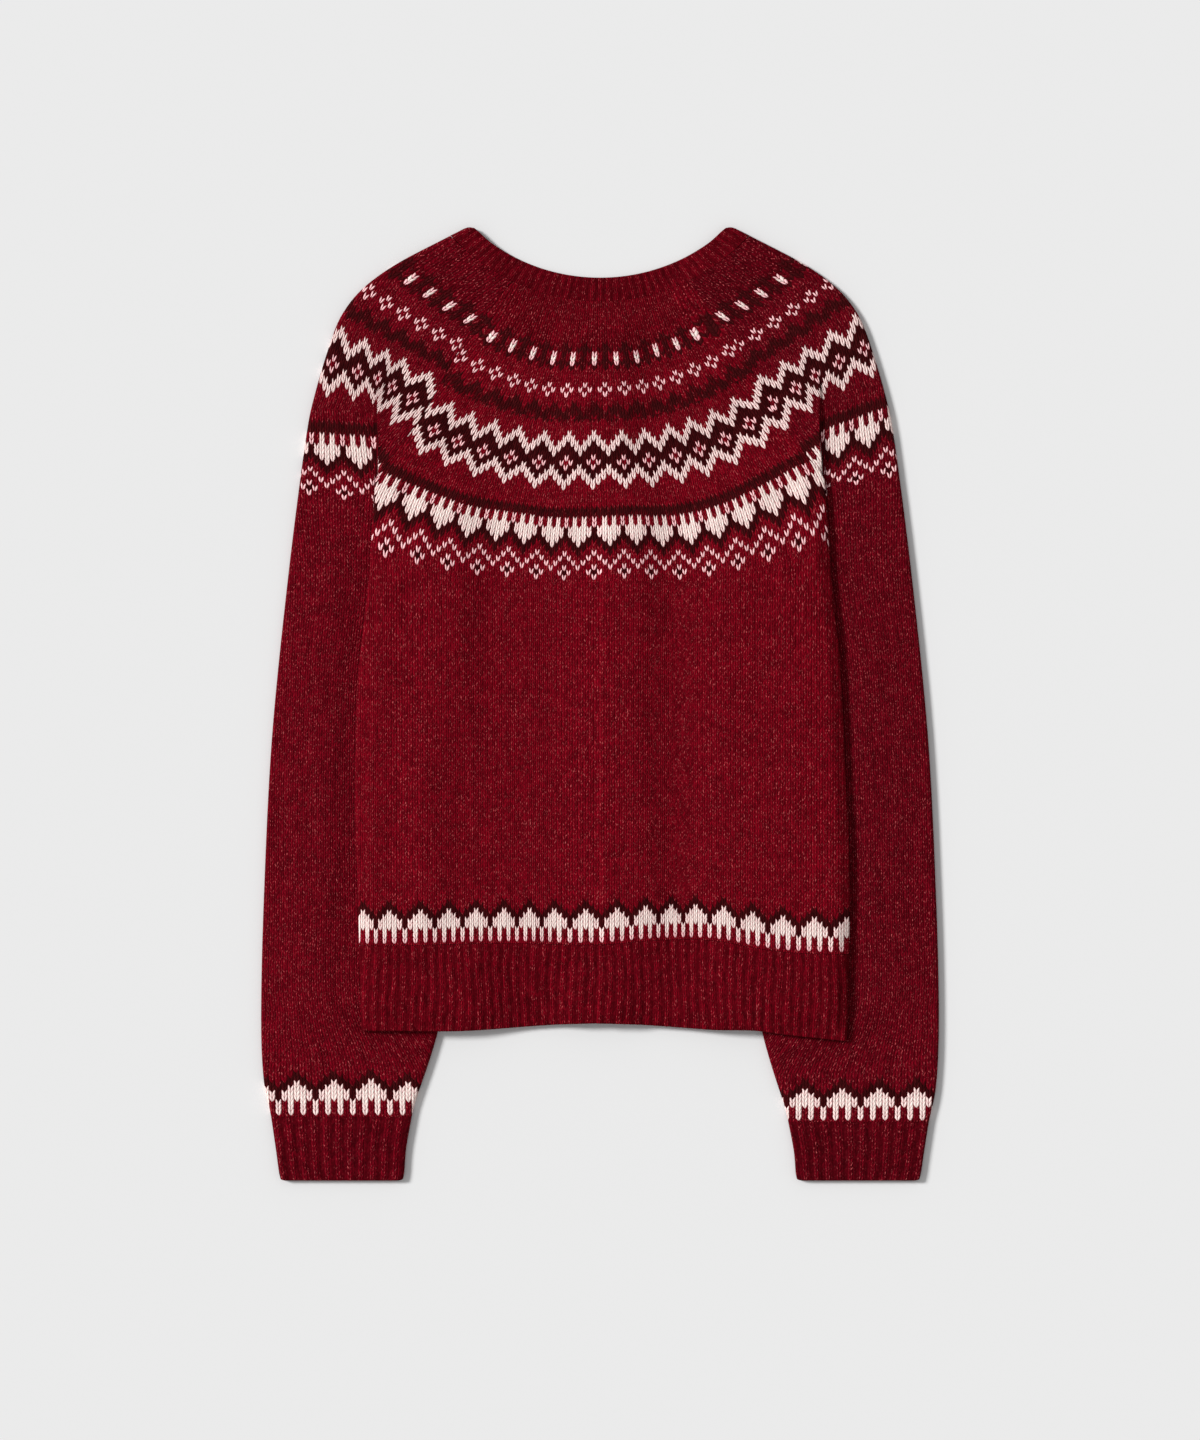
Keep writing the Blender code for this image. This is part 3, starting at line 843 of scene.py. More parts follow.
def body_wall(
    rows: RowSet, row: Array, x: Array, half: Array, bottom: Array, edge: Array, is_back: bool
) -> Wall:
    """Closes body rows into a wall and counts their stitches.

    Args:
        rows: The rows' shape.
        row: Row numbers, one a line.
        x: Places across, one line a row.
        half: Half width of the row at each point's side.
        bottom: Height of the underside.
        edge: Distance from the nearer open side edge.
        is_back: Whether the outer face is the upper one.

    Returns:
        The wall.
    """
    y = rows.heights(row[:, None], x)
    on_raglan = rows.heights(row[:, None], np.sign(x) * half) > ARMPIT_Y
    drop = edge_drop(edge, np.where(on_raglan, RAGLAN_ROUND, SIDE_ROUND))
    seam = SEAM_DROP * (smooth(1 - row / 1.5) + smooth(1 - (row[-1] - row) / 1.5))[:, None]
    top = bottom + WALL
    if is_back:
        outer, inner = top - drop - seam, bottom
    else:
        outer, inner = bottom + drop + seam, top
    line = row[:, None]
    chart_row = rows.first_chart_row + line
    band = (chart_row[:-1] + chart_row[1:]) / 2
    beneath = x - np.sign(x) * SLANT * on_raglan * smooth(1 - edge / (3 * WALL))
    return Wall(
        np.dstack([x, y, outer]),
        np.dstack([beneath, y, inner]),
        body_stitches(rows, line[:-1], x[:-1], band),
        body_stitches(rows, line[1:], x[1:], band),
        np.broadcast_to(chart_row, x.shape).copy(),
    )


@dataclass(frozen=True)
class BackPanel:
    """The back: the yoke between the raglan seams and the body down to the hem rib."""

    columns: int = 151
    creases: tuple[Ridge, ...] = (
        Ridge((-20.0, 118.0), (-120.0, 170.0), 14.0, 0.8),
        Ridge((60.0, 122.0), (138.0, 168.0), 14.0, 0.9),
        Ridge((-168.0, 60.0), (-120.0, 150.0), 12.0, 1.0),
        Ridge((170.0, 40.0), (126.0, 128.0), 13.0, 0.9),
    )
    cut: Cut = Cut(0.37, 0.50, 0.160, "laid", ("front_left", "front_right", "sleeve_left", "sleeve_right"))

    def points_across(self, row: Array) -> tuple[Array, Array, Array]:
        """Places across each row, the half width on their side, and the distance from the nearer side.

        Args:
            row: Row numbers.

        Returns:
            The three grids, one line a row.
        """
        left, right = BACK_ROWS.ends(row, -1) - SEAM_INSET, BACK_ROWS.ends(row, 1) - SEAM_INSET
        inner = np.linspace(0.0, 1.0, self.columns)[None, 1:-1]
        low, high = -left + WALL, right - WALL
        middle = low[:, None] + (high - low)[:, None] * inner
        x = np.hstack([-left[:, None] + EDGE_STEPS, middle, right[:, None] - EDGE_STEPS[::-1]])
        half = np.where(x < 0, left[:, None], right[:, None])
        edge = half - np.abs(x)
        return x + sway(x, BACK_ROWS.heights(row[:, None], x)), half + SEAM_INSET, edge

    def build(self, finish: Material) -> Piece:
        """Makes the back.

        Args:
            finish: Its material.

        Returns:
            The new object.
        """
        row = np.arange(ROWS + 1.0)
        x, half, edge = self.points_across(row)
        y = BACK_ROWS.heights(row[:, None], x)
        creases = smooth(edge / 20.0) * drape(self.creases, x, y)
        bottom = back_rest(x, y, back_rise(back_lift(x, half, y), x, y, edge) + creases)
        return body_wall(BACK_ROWS, row, x, half, bottom, edge, True).build("knit_back", finish)


def back_lift(x: Array, half: Array, y: Array) -> Array:
    """Lift of the back by the sleeves under its sides and by the front bands under its middle.

    Args:
        x: Places across.
        half: Half width on each point's side.
        y: Heights on the garment.

    Returns:
        The lifts.
    """
    total = np.zeros_like(x)
    for sign, last in ((-1, 0), (1, -1)):
        width, height = half[:, last], y[:, last]
        share = np.where(height > ARMPIT_Y, RAGLAN_CURVE.share_at(height), 1.0)
        lifted = lift_share(x, width, height) * raglan_lift(share)[:, None]
        total = np.where(np.sign(x) == sign, lifted, total)
    return np.maximum(total, band_lift(x, BAND_BACK_LIFT))


def back_rise(lifted: Array, x: Array, y: Array, edge: Array) -> Array:
    """Rise of the back over its rest.

    It is the greater of the lift by what lies below and of the soft folds, which fade towards the neck and
    the hem, with a soft roll at the sides.

    Args:
        lifted: The lift by what lies below.
        x: Places across.
        y: Heights on the garment.
        edge: Distance from the nearer side.

    Returns:
        The rises.
    """
    folds = between(-y, [-key for key, _ in FOLDS], [level(x, table) for _, table in FOLDS])
    folds = folds * smooth((225.0 - y) / 110.0) * smooth((y + 236.0) / 90.0)
    roll, width = (np.where(x < 0, *pair) for pair in zip(*SIDE_ROLL))
    roll = roll * smooth(edge / width) * smooth((165.0 - y) / 40.0) * smooth((y + 250.0) / 20.0)
    return np.maximum(lifted, folds) + roll


@dataclass(frozen=True)
class HemRibBack:
    """The rib below the back."""

    step: float = 1.2
    cut: Cut = Cut(0.37, 0.065, 0.0225, "laid", ("hem_rib_front_left", "hem_rib_front_right"))

    def build(self, finish: Material) -> Piece:
        """Makes the rib."""
        wall = hem_wall(self.step, -1, 1, level_back=True)
        return wall.build("rib_hem_back", finish)


def hem_wall(step: float, low_side: int, high_side: int, level_back: bool) -> Wall:
    """A hem rib's wall: even lines from the seam to the lower edge, ribbed on the outer face.

    Args:
        step: Distance between columns.
        low_side: Where the columns start: -1 at the left side, or 0 at the right front band.
        high_side: Where they end: 1 at the right side, or 0 at the left front band.
        level_back: Whether it is the back's rib, which wanders at its seam.

    Returns:
        The wall.
    """
    share = HEM_SHARES
    row_y = HEM_TOP + (HEM_BOTTOM - HEM_TOP) * share
    side = SIDE_CURVE.x_at(row_y)
    low = side * low_side if low_side else np.full_like(side, BAND_HALF + SEAM_INSET)
    high = side * high_side if high_side else np.full_like(side, -BAND_HALF - SEAM_INSET)
    count = int((high - low).max() / step)
    x = low[:, None] + (high - low)[:, None] * np.linspace(0.0, 1.0, count)
    arch = HEM_SEAM_ARCH + (HEM_ARCH - HEM_SEAM_ARCH) * share
    edge = side[:, None] - np.abs(x)
    lifts = lift_share(x, side, row_y) * SLEEVE_LIFT
    x = x + sway(x, row_y[:, None])
    y = row_y[:, None] - arch[:, None] * smooth(np.abs(x) / ARCH_HALF) + level(x, HEM_EDGE) * share[:, None]
    wales = x / WALE + 0.3 * np.sin(y / 14.0 + x / 23.0)
    relief = HEM_RELIEF * np.cos(np.pi * wales)
    if level_back:
        y = y + level(x, HEM_WANDER) * (1 - share)[:, None]
        bottom = TOP + back_rise(np.maximum(lifts, band_lift(x, BAND_BACK_LIFT)), x, y, edge)
        outer = bottom + WALL - edge_drop(edge, SIDE_ROUND) + relief
        inner = bottom
    else:
        band_z = BUTTONHOLE_BAND_Z if low_side == 0 else BUTTON_BAND_Z
        bottom = np.maximum(lifts, band_lift(x, band_z))
        outer = bottom + edge_drop(edge, SIDE_ROUND) + HEM_RELIEF - relief
        inner = bottom + WALL
    v = ROWS + (share * HEM_ROWS)[:, None] * np.ones_like(x)
    wall = Wall(np.dstack([x, y, outer]), np.dstack([x, y, inner]), wales[:-1], wales[1:], v)
    pinch(wall, np.arange(16, 20), edge_shares((1 - share[16:]) * (HEM_TOP - HEM_BOTTOM), EDGE_RADIUS))
    return wall


@dataclass(frozen=True)
class Front:
    """One front with its hem rib, from the front neckband to the hem."""

    side: Side
    columns: int = 80
    cut: Cut = Cut(0.172, 0.435, 0.064, "laid", ("sleeve_left", "sleeve_right"))
    hem_cut: Cut = Cut(0.17, 0.062, 0.0098, "laid", ("sleeve_left", "sleeve_right"))

    @property
    def band_z(self) -> float:
        """Height of the underside of the front band that it carries."""
        return BUTTON_BAND_Z if self.side is Side.LEFT else BUTTONHOLE_BAND_Z

    def build(self, finish: Material) -> Piece:
        """Makes the front; its outer face is the lower one.

        Args:
            finish: Its material.

        Returns:
            The new object.
        """
        row = np.arange(FRONT_ROW_COUNT + 1.0)
        half = FRONT_ROWS.ends(row, self.side.value) - SEAM_INSET
        start = BAND_HALF + SEAM_INSET
        inner = np.linspace(0.0, 1.0, self.columns)[None, :-1]
        middle = start + (half - WALL - start)[:, None] * inner
        x = np.hstack([middle, half[:, None] - EDGE_STEPS[::-1]]) * self.side.value
        edge = half[:, None] - np.abs(x)
        x = x + sway(x, FRONT_ROWS.heights(row[:, None], x))
        y = FRONT_ROWS.heights(row[:, None], x)
        share = np.where(y[:, -1] > ARMPIT_Y, RAGLAN_CURVE.share_at(y[:, -1]), 1.0)
        lifts = lift_share(x, half, y[:, -1]) * raglan_lift(share)[:, None]
        bottom = np.maximum(lifts, band_lift(x, self.band_z))
        half_grid = np.broadcast_to(half[:, None], x.shape)
        wall = body_wall(FRONT_ROWS, row, x, half_grid, bottom, edge, False)
        return wall.build(f"knit_front_{self.side.word}", finish)

    def build_hem(self, finish: Material) -> Piece:
        """Makes the front's hem rib.

        Args:
            finish: Its material.

        Returns:
            The new object.
        """
        low, high = (-1, 0) if self.side is Side.LEFT else (0, 1)
        wall = hem_wall(1.75, low, high, level_back=False)
        return wall.build(f"rib_hem_front_{self.side.word}", finish)


# ------------ the sleeves


@dataclass(frozen=True)
class SleeveLay:
    """How one sleeve lies: tables by row number of where its rows run and where its stitches are.

    The cloth between the raglan seam and the crease shows beside the body; beyond the crease the rows
    continue further up, since the sleeve turns down there.
    """

    side: Side
    arm_row: float  # the row at the armpit
    raglan: Table  # share of the raglan seam
    fold: Table  # length along the folded edge
    crease: Table  # x of the crease's outer side
    crease_y: Table  # and its height, down to the armpit
    inner_crease_y: Table  # height of its inner side
    slope: Table  # how much a row falls towards the crease below the armpit
    stitch: Table  # width of a stitch
    seam_phase: Table  # middle of a repeat from the raglan seam
    hidden: Table  # what the crease adds to it
    crease_phase: Table  # middle of a repeat from the crease
    chart: Table  # the chart's row on each row
    diamonds: tuple[tuple[float, tuple[float, ...]], ...]  # places of repeats from the seam, by row
    folds: tuple[Ridge, ...]
    cuff_drop: float = 0.0  # how much lower the cuff lies


# Below the armpit both sleeves have the same crease and width of stitches
CREASE_BELOW = (
    (57.0, 170.0), (78.0, 171.0), (96.0, 177.0), (126.0, 181.0), (146.0, 181.0), (173.0, 178.0),
    (180.0, 172.0), (192.0, 170.0),
)
STITCH_BELOW = ((70.0, 3.9), (100.0, 3.5), (170.0, 3.6), (182.0, 4.64))
LEFT_LAY = SleeveLay(
    side=Side.LEFT,
    arm_row=47.4,
    raglan=((0.0, 0.0), (12.5, 0.211), (19.4, 0.331), (34.0, 0.645), (47.4, 1.0)),
    fold=((0.0, 0.0), (12.5, 44.5), (19.4, 74.3), (34.0, 142.0), (49.5, 210.0), (57.0, 233.5)),
    crease=((0.0, 87.5), (12.5, 117.5), (19.4, 135.0), (34.0, 166.5), (44.0, 167.0), *CREASE_BELOW),
    crease_y=(
        (0.0, 330.0), (12.5, 303.7), (19.4, 286.3), (34.0, 242.0), (44.0, 205.5), (49.5, 182.2),
        (57.0, 155.0),
    ),
    inner_crease_y=((34.0, 241.0), (44.0, 189.0), (47.4, 169.5), (50.0, 165.5), (57.0, 148.0), (62.0, 131.0)),
    slope=((57.0, 0.149), (75.0, 0.12), (100.0, 0.08), (150.0, 0.03), (182.0, -0.03), (192.0, 0.0)),
    stitch=((34.0, 3.5), (45.0, 3.8), (52.0, 4.2), (57.0, 4.5), *STITCH_BELOW),
    seam_phase=((16.0, 4.0), (22.0, 4.0), (34.0, 8.3), (47.4, 8.3)),
    hidden=((26.0, 0.0), (34.0, 7.2)),
    crease_phase=((34.0, 38.0), (45.0, 37.3), (50.0, 36.0), (57.0, 35.0), (185.0, 28.7), (192.0, 28.7)),
    chart=(
        (0.0, 0.0), (8.0, 8.0), (11.0, 10.6), (15.0, 14.6), (19.0, 19.0), (22.0, 22.0), (28.0, 29.5),
        (40.0, 41.5), (44.0, 45.1), (53.0, 54.2), (58.0, 58.6), (66.0, 66.0), (192.0, 192.0),
    ),
    diamonds=(
        (26.5, (9.6, 32.7, 46.9, 65.5, 84.8)),
        (32.5, (12.5, 31.1, 43.6, 59.5, 79.6)),
        (38.5, (15.4, 29.5, 39.0, 54.0, 74.0)),
    ),
    folds=(
        Ridge((199.0, 165.0), (216.0, -290.0), 24.0, 2.8, 42.0),
        Ridge((176.0, 40.0), (226.0, 90.0), 9.0, 0.8),
        Ridge((184.0, -60.0), (236.0, -20.0), 10.0, 0.8),
        Ridge((186.0, -150.0), (240.0, -128.0), 11.0, 0.8),
        Ridge((160.0, -268.0), (226.0, -210.0), 10.0, 1.0),
        Ridge((168.0, -290.0), (240.0, -262.0), 10.0, 0.9),
    ),
)
RIGHT_LAY = SleeveLay(
    side=Side.RIGHT,
    arm_row=51.2,
    raglan=((0.0, 0.0), (12.5, 0.198), (19.4, 0.331), (34.0, 0.618), (51.2, 1.0)),
    fold=((0.0, 0.0), (12.5, 44.5), (19.4, 68.5), (34.0, 127.0), (49.5, 191.0), (57.0, 221.0)),
    crease=((0.0, 87.5), (12.5, 116.7), (19.4, 133.8), (34.0, 164.6), (44.0, 165.5), *CREASE_BELOW),
    crease_y=(
        (0.0, 330.0), (12.5, 304.8), (19.4, 288.7), (34.0, 248.0), (44.0, 210.3), (51.2, 182.7),
        (57.0, 162.6),
    ),
    inner_crease_y=((34.0, 247.0), (44.0, 200.8), (51.2, 170.5), (54.0, 166.5), (62.0, 137.5)),
    slope=((57.0, 0.227), (75.0, 0.15), (100.0, 0.08), (150.0, 0.05), (192.0, 0.0)),
    stitch=((34.0, 3.5), (45.0, 3.8), (52.0, 4.07), (57.0, 4.3), *STITCH_BELOW),
    seam_phase=((16.0, -0.9), (22.0, -0.9), (34.0, 3.0), (51.2, 3.0)),
    hidden=((26.0, 0.0), (34.0, -5.0)),
    crease_phase=((34.0, 33.0), (45.0, 35.0), (57.0, 35.0), (185.0, 38.8), (192.0, 38.8)),
    chart=(
        (0.0, 0.0), (8.0, 8.4), (11.0, 11.5), (15.0, 15.3), (19.0, 19.0), (20.0, 20.0), (26.5, 27.4),
        (28.0, 29.0), (57.0, 58.0), (66.0, 66.0), (178.0, 178.0), (184.7, 184.0), (192.0, 192.0),
    ),
    diamonds=(
        (27.9, (2.6, 22.3, 42.0, 64.5, 87.1)),
        (33.8, (1.3, 22.7, 39.4, 60.6, 81.6)),
        (40.0, (0.7, 22.3, 37.5, 53.2, 77.6)),
    ),
    cuff_drop=3.8,
    folds=(
        Ridge((200.0, 150.0), (205.0, -290.0), 18.0, 1.4, 46.0),
        Ridge((180.0, 60.0), (228.0, 100.0), 10.0, 0.8),
        Ridge((196.0, -40.0), (240.0, -10.0), 10.0, 0.8),
        Ridge((170.0, -262.0), (236.0, -200.0), 11.0, 1.0),
    ),
)
SEED_PLACES = {  # middles of repeats from the seam, rows 9 to 15
    Side.LEFT: (-10.0, 6.8, 25.2, 43.0, 60.0, 82.0),
    Side.RIGHT: (-13.0, 4.5, 21.3, 38.4, 56.0, 78.5),
}
SEED_ROW = 12.8  # the row at which they are given
SEED_LEAN = 1.0  # how far a column runs from the seam in one row there
FLOWER_STITCH = {Side.LEFT: 3.83, Side.RIGHT: 4.17}  # width of a stitch in rows 16 to 25


@dataclass(frozen=True)
class Sleeve:
    """A sleeve with its part of the yoke: a tube below the armpit, laid flat and partly under the body."""

    lay: SleeveLay
    inner_columns: int = 16
    strip_columns: int = 4
    outer_columns: int = 30
    ring_columns: int = 9
    under_columns: int = 36
    upper_bow: float = 2.7  # how far lines of the upper wall bow near the neck
    lower_bow: float = 5.0  # and of the lower wall
    bow_end: float = 0.6  # share of the raglan seam where they are straight
    bend_row: float = 20.0  # row from which lines begin to bend at the crease
    crease_width: float = 1.5
    inner_reach: float = 40.0  # greatest distance of its inner side from the underarm seam
    crease_fade: float = 16.0  # width beside the crease where the soft folds fade
    edge_fade: float = 9.0  # and beside the folded edge
    neck_fade: float = 14.0  # rows below the neckband where they fade
    cuff_fade: float = 10.0  # and above the cuff
    ring_start: float = 78.0  # angle in degrees where the upper wall ends and the folded edge starts
    cut: Cut = Cut(0.30, 0.66, 0.165, "folded", ("the surface",))

    def stations(self) -> tuple[Array, Array, Array]:
        """Row numbers and the plan places of the seam, both sides of the crease and the folded edge.

        Returns:
            The row numbers, the share of the raglan seam at each, and its four places.
        """
        lay = self.lay
        row = np.arange(SLEEVE_ROWS + 1.0)
        arm = lay.arm_row
        share = np.interp(row, *np.array(lay.raglan).T)
        below = np.clip((row - arm) / (SLEEVE_ROWS - arm), 0.0, 1.0)
        seam = np.where((row <= arm)[:, None], RAGLAN_CURVE.at(share), INNER_CURVE.at(below))
        rest = np.interp(row, [TABLE_END, SLEEVE_ROWS], [lay.fold[-1][1], FOLD_CURVE.length])
        length = np.where(row <= TABLE_END, level(row, lay.fold), rest)
        length = np.where(row < 1, 2 * SEAM_INSET, length)
        fold = FOLD_CURVE.at(length / FOLD_CURVE.length)
        outer_x = level(row, lay.crease)
        sloped = fold[:, 1] - level(row, lay.slope) * (fold[:, 0] - outer_x)
        outer_y = np.where(row <= TABLE_END, level(row, lay.crease_y), sloped)
        low = np.interp(row, *np.array(lay.inner_crease_y).T)
        near = smooth((row - TABLE_END) / 12.0)
        inner_y = np.where(row < CREASE_ROW, outer_y - 1.0, low * (1 - near) + outer_y * near)
        inner_x = outer_x - self.crease_width
        inner_x = np.where(row < arm, inner_x, np.minimum(inner_x, seam[:, 0] + self.inner_reach))
        beside = (row >= CREASE_ROW) & (row <= arm + 1)
        inner_x = np.where(beside, np.minimum(inner_x, ARMPIT_X), inner_x)
        inner, outer = np.stack([inner_x, inner_y], -1), np.stack([outer_x, outer_y], -1)
        return row, share, np.stack([seam, inner, outer, fold], axis=1)

    def plan(self, row: Array, places: Array) -> Array:
        """Plan points of the upper wall: a bowed chord near the neck, straight runs past the crease below.

        Args:
            row: Row numbers.
            places: The four places of each row.

        Returns:
            The points, one line a row.
        """
        seam, inner, outer, fold = places.transpose(1, 0, 2)
        run = fold - seam
        length = np.linalg.norm(run, axis=1, keepdims=True)
        along = run / length
        start = np.where(row <= self.lay.arm_row, SEAM_INSET, 0.0)[:, None]
        first, last = seam + along * start, fold - along * EDGE / 2
        runs = []
        columns = (self.inner_columns, self.strip_columns, self.outer_columns)
        for begin, end, count in zip((first, inner, outer), (inner, outer, last), columns):
            steps = np.linspace(0.0, 1.0, count + 1)[None, 1:, None]
            runs.append(begin[:, None] + (end - begin)[:, None] * steps)
        bent = np.concatenate([first[:, None], *runs], axis=1)
        shares = ((bent - first[:, None]) * along[:, None]).sum(-1) / np.maximum(length, 1e-6)
        shares = np.clip(shares, 0.0, 1.0)
        bow = self.upper_bow * smooth(1 - np.interp(row, *np.array(self.lay.raglan).T) / self.bow_end)
        chord = first[:, None] + run[:, None] * shares[..., None] * (1 - 1e-3)
        chord = bowed(chord, along, bow, shares)
        blend = smooth((row - self.bend_row) / 12.0)[:, None, None]
        return chord * (1 - blend) + bent * blend

    def build(self, finish: Material) -> Piece:
        """Makes the sleeve."""
        return self.wall().build(f"knit_sleeve_{self.lay.side.word}", finish)

    def wall(self) -> Wall:
        """The upper wall, the folded edge, the lower wall and the seam or raglan edge at each end.

        Returns:
            The wall, on its own side of the garment.
        """
        lay = self.lay
        row, share, places = self.stations()
        plan = self.plan(row, places)
        crease = self.inner_columns + self.strip_columns
        step = np.ones(plan.shape[1])
        step[self.inner_columns : crease + 1] = 1 - smooth(np.linspace(0.0, 1.0, self.strip_columns + 1))
        step[crease:] = 0.0
        raised = raglan_lift(share) * smooth((lay.arm_row + 0.5 - row) / 3.0)
        raised = raised * smooth((row - self.bend_row) / 8.0)
        rise = raised[:, None] * step
        calm = np.where(np.arange(plan.shape[1]) > crease, 1.0, 0.0)
        reach = np.linalg.norm(plan - plan[:, crease : crease + 1], axis=-1)
        calm = calm * smooth(reach / self.crease_fade) * smooth((row - 2.0) / self.neck_fade)[:, None]
        edge = np.linalg.norm(plan - places[:, 3][:, None], axis=-1)
        calm = calm * smooth(edge / self.edge_fade) * smooth((SLEEVE_ROWS - row) / self.cuff_fade)[:, None]
        soft = calm * drape(lay.folds, plan[..., 0], plan[..., 1])
        upper = np.dstack([plan, EDGE + rise + soft])
        along = unit(plan[:, 6] - plan[:, 0])
        near_seam = 1 - smooth(np.arange(plan.shape[1]) / 3.0)
        slant = SLANT * smooth((lay.arm_row - row) / 2.0)[:, None] * near_seam
        upper_in = np.dstack([plan - along[:, None] * slant[..., None], TOP + rise + soft])
        ring, ring_in = self.ring(plan[:, -1], places[:, 3])
        under, under_in = self.under(row, share, places)
        outer = np.concatenate([upper, ring, under], axis=1)
        inner = np.concatenate([upper_in, ring_in, under_in], axis=1)
        self.close_ends(outer, inner, row)
        flip = np.array([lay.side.value, 1.0, 1.0])
        u = self.stitches(row, outer, crease)
        v = np.broadcast_to(np.interp(row, *np.array(lay.chart).T)[:, None], outer.shape[:2]).copy()
        drop = lay.cuff_drop * smooth(1 - (SLEEVE_ROWS - row) / DROP_ROWS)
        outer[..., 1] -= drop[:, None]
        inner[..., 1] -= drop[:, None]
        return Wall(outer * flip, inner * flip, u[0], u[1], v)

    def ring(self, last: Array, fold: Array) -> tuple[Array, Array]:
        """Half circles round the folded edge, from above to below, for both faces.

        Args:
            last: Where the upper wall ends on each row.
            fold: Where the folded edge is.

        Returns:
            The outer and the inner points.
        """
        outward = unit(fold - last)
        angle = np.radians(np.linspace(self.ring_start, -90.0, self.ring_columns))
        centre = fold - outward * EDGE / 2
        grids = []
        for size in (EDGE / 2, LAYER_GAP / 2):
            flat = centre[:, None] + outward[:, None] * (size * np.cos(angle))[None, :, None]
            height = np.broadcast_to(EDGE / 2 + size * np.sin(angle), flat.shape[:2])
            grids.append(np.dstack([flat, height]))
        return grids[0], grids[1]

    def under(self, row: Array, share: Array, places: Array) -> tuple[Array, Array]:
        """The lower wall, from the folded edge to the front raglan seam or the underarm seam.

        Args:
            row: Row numbers.
            share: Share of the raglan seam at each row.
            places: The four places of each row.

        Returns:
            The outer and the inner points.
        """
        arm = self.lay.arm_row
        front_share = FRONT_RAGLAN_START + (1 - FRONT_RAGLAN_START) * share
        end = np.where((row <= arm)[:, None], RAGLAN_CURVE.at(front_share), places[:, 0])
        fold = places[:, 3]
        along = unit(fold - end)
        start = end + along * np.where(row <= arm, SEAM_INSET, 0.0)[:, None]
        last = fold - along * EDGE / 2
        t = np.linspace(0.0, 1.0, self.under_columns)[None, 1:]
        plan = last[:, None] + (start - last)[:, None] * t[..., None]
        plan = bowed(plan, along, self.lower_bow * smooth(1 - share / self.bow_end), t)
        zero = np.zeros(plan.shape[:2])
        return np.dstack([plan, zero]), np.dstack([plan, zero + WALL])

    def close_ends(self, outer: Array, inner: Array, row: Array) -> None:
        """Below the armpit, rounds both ends of a row so that they meet at the underarm seam.

        Args:
            outer: The outer grid, which is changed.
            inner: The inner grid, which is changed.
            row: Row numbers.
        """
        closed = row > self.lay.arm_row
        for face, size in ((outer, EDGE / 2), (inner, LAYER_GAP / 2)):
            for columns, way in ((np.arange(6), 1), (np.arange(-1, -7, -1), -1)):
                away = unit(face[closed][:, columns[5], :2] - face[closed][:, columns[0], :2])
                start = outer[closed][:, columns[0], :2].copy()
                for station, angle in zip(columns, END_ANGLES):
                    face[closed, station, :2] = start + away * (EDGE / 2 - size * math.cos(angle))
                    face[closed, station, 2] = EDGE / 2 + way * max(size * math.sin(angle), SEAM_INSET)

    def stitches(self, row: Array, outer: Array, crease: int) -> tuple[Array, Array]:
        """Stitch numbers for the upper and the lower side of each strip of faces.

        Beside the raglan seam they count from the seam, and past the crease from the crease, which hides
        some cloth; the strip at the crease joins the two.

        Args:
            row: Row numbers.
            outer: The outer grid.
            crease: The column at the crease's outer side.

        Returns:
            The numbers for the upper and for the lower side.
        """
        lay = self.lay
        run = run_along(outer)
        before = run[:, crease : crease + 1]
        middle = (row[:-1] + row[1:])[:, None] / 2
        sides = []
        for here, dist, cross in ((row[:-1], run[:-1], before[:-1]), (row[1:], run[1:], before[1:])):
            here = here[:, None]
            width = np.interp(here, *np.array(lay.stitch).T)
            seam = level(here, lay.seam_phase)
            joined = seam - cross + CREASE_REACH + level(here, lay.hidden)
            phase = np.where(here < CREASE_ROW, joined, level(here, lay.crease_phase))
            column = np.arange(dist.shape[1])[None, :]
            second = (dist - cross - phase) / width
            lower = np.where(column >= crease, second, (dist - seam) / width)
            tucked = np.where(here < TUCKED_END, np.maximum(second, TUCKED_STITCH), second)
            past = (column > self.inner_columns) | (here >= lay.arm_row)
            lower = np.where((here >= DIAMOND_END) & past, tucked, lower)
            seeds = Band(0.0, 0.0, 4, SEED_PLACES[lay.side]).number(dist - SEED_LEAN * (here - SEED_ROW))
            flowers = (dist - lay.seam_phase[0][1]) / FLOWER_STITCH[lay.side]
            diamonds = self.diamond_stitches(here, dist)
            ends = (SEED_END, FLOWER_END, DIAMOND_END)
            sides.append(np.select([middle < end for end in ends], [seeds, flowers, diamonds], lower))
        return sides[0], sides[1]

    def diamond_stitches(self, row: Array, dist: Array) -> Array:
        """Stitch numbers of the diamonds: straight lines between the places of repeats, blended by row.

        Args:
            row: Row numbers, as a column.
            dist: Distances from the seam.

        Returns:
            The numbers.
        """
        layers = []
        for _, marks in self.lay.diamonds:
            # ten repeats of 20 mm go on past each end
            line = [marks[0] - 200.0, *marks, marks[-1] + 200.0]
            count = [-60.0, *range(0, 6 * len(marks), 6), 6.0 * len(marks) + 54.0]
            layers.append(np.interp(dist, line, count))
        return between(row, [key for key, _ in self.lay.diamonds], layers)


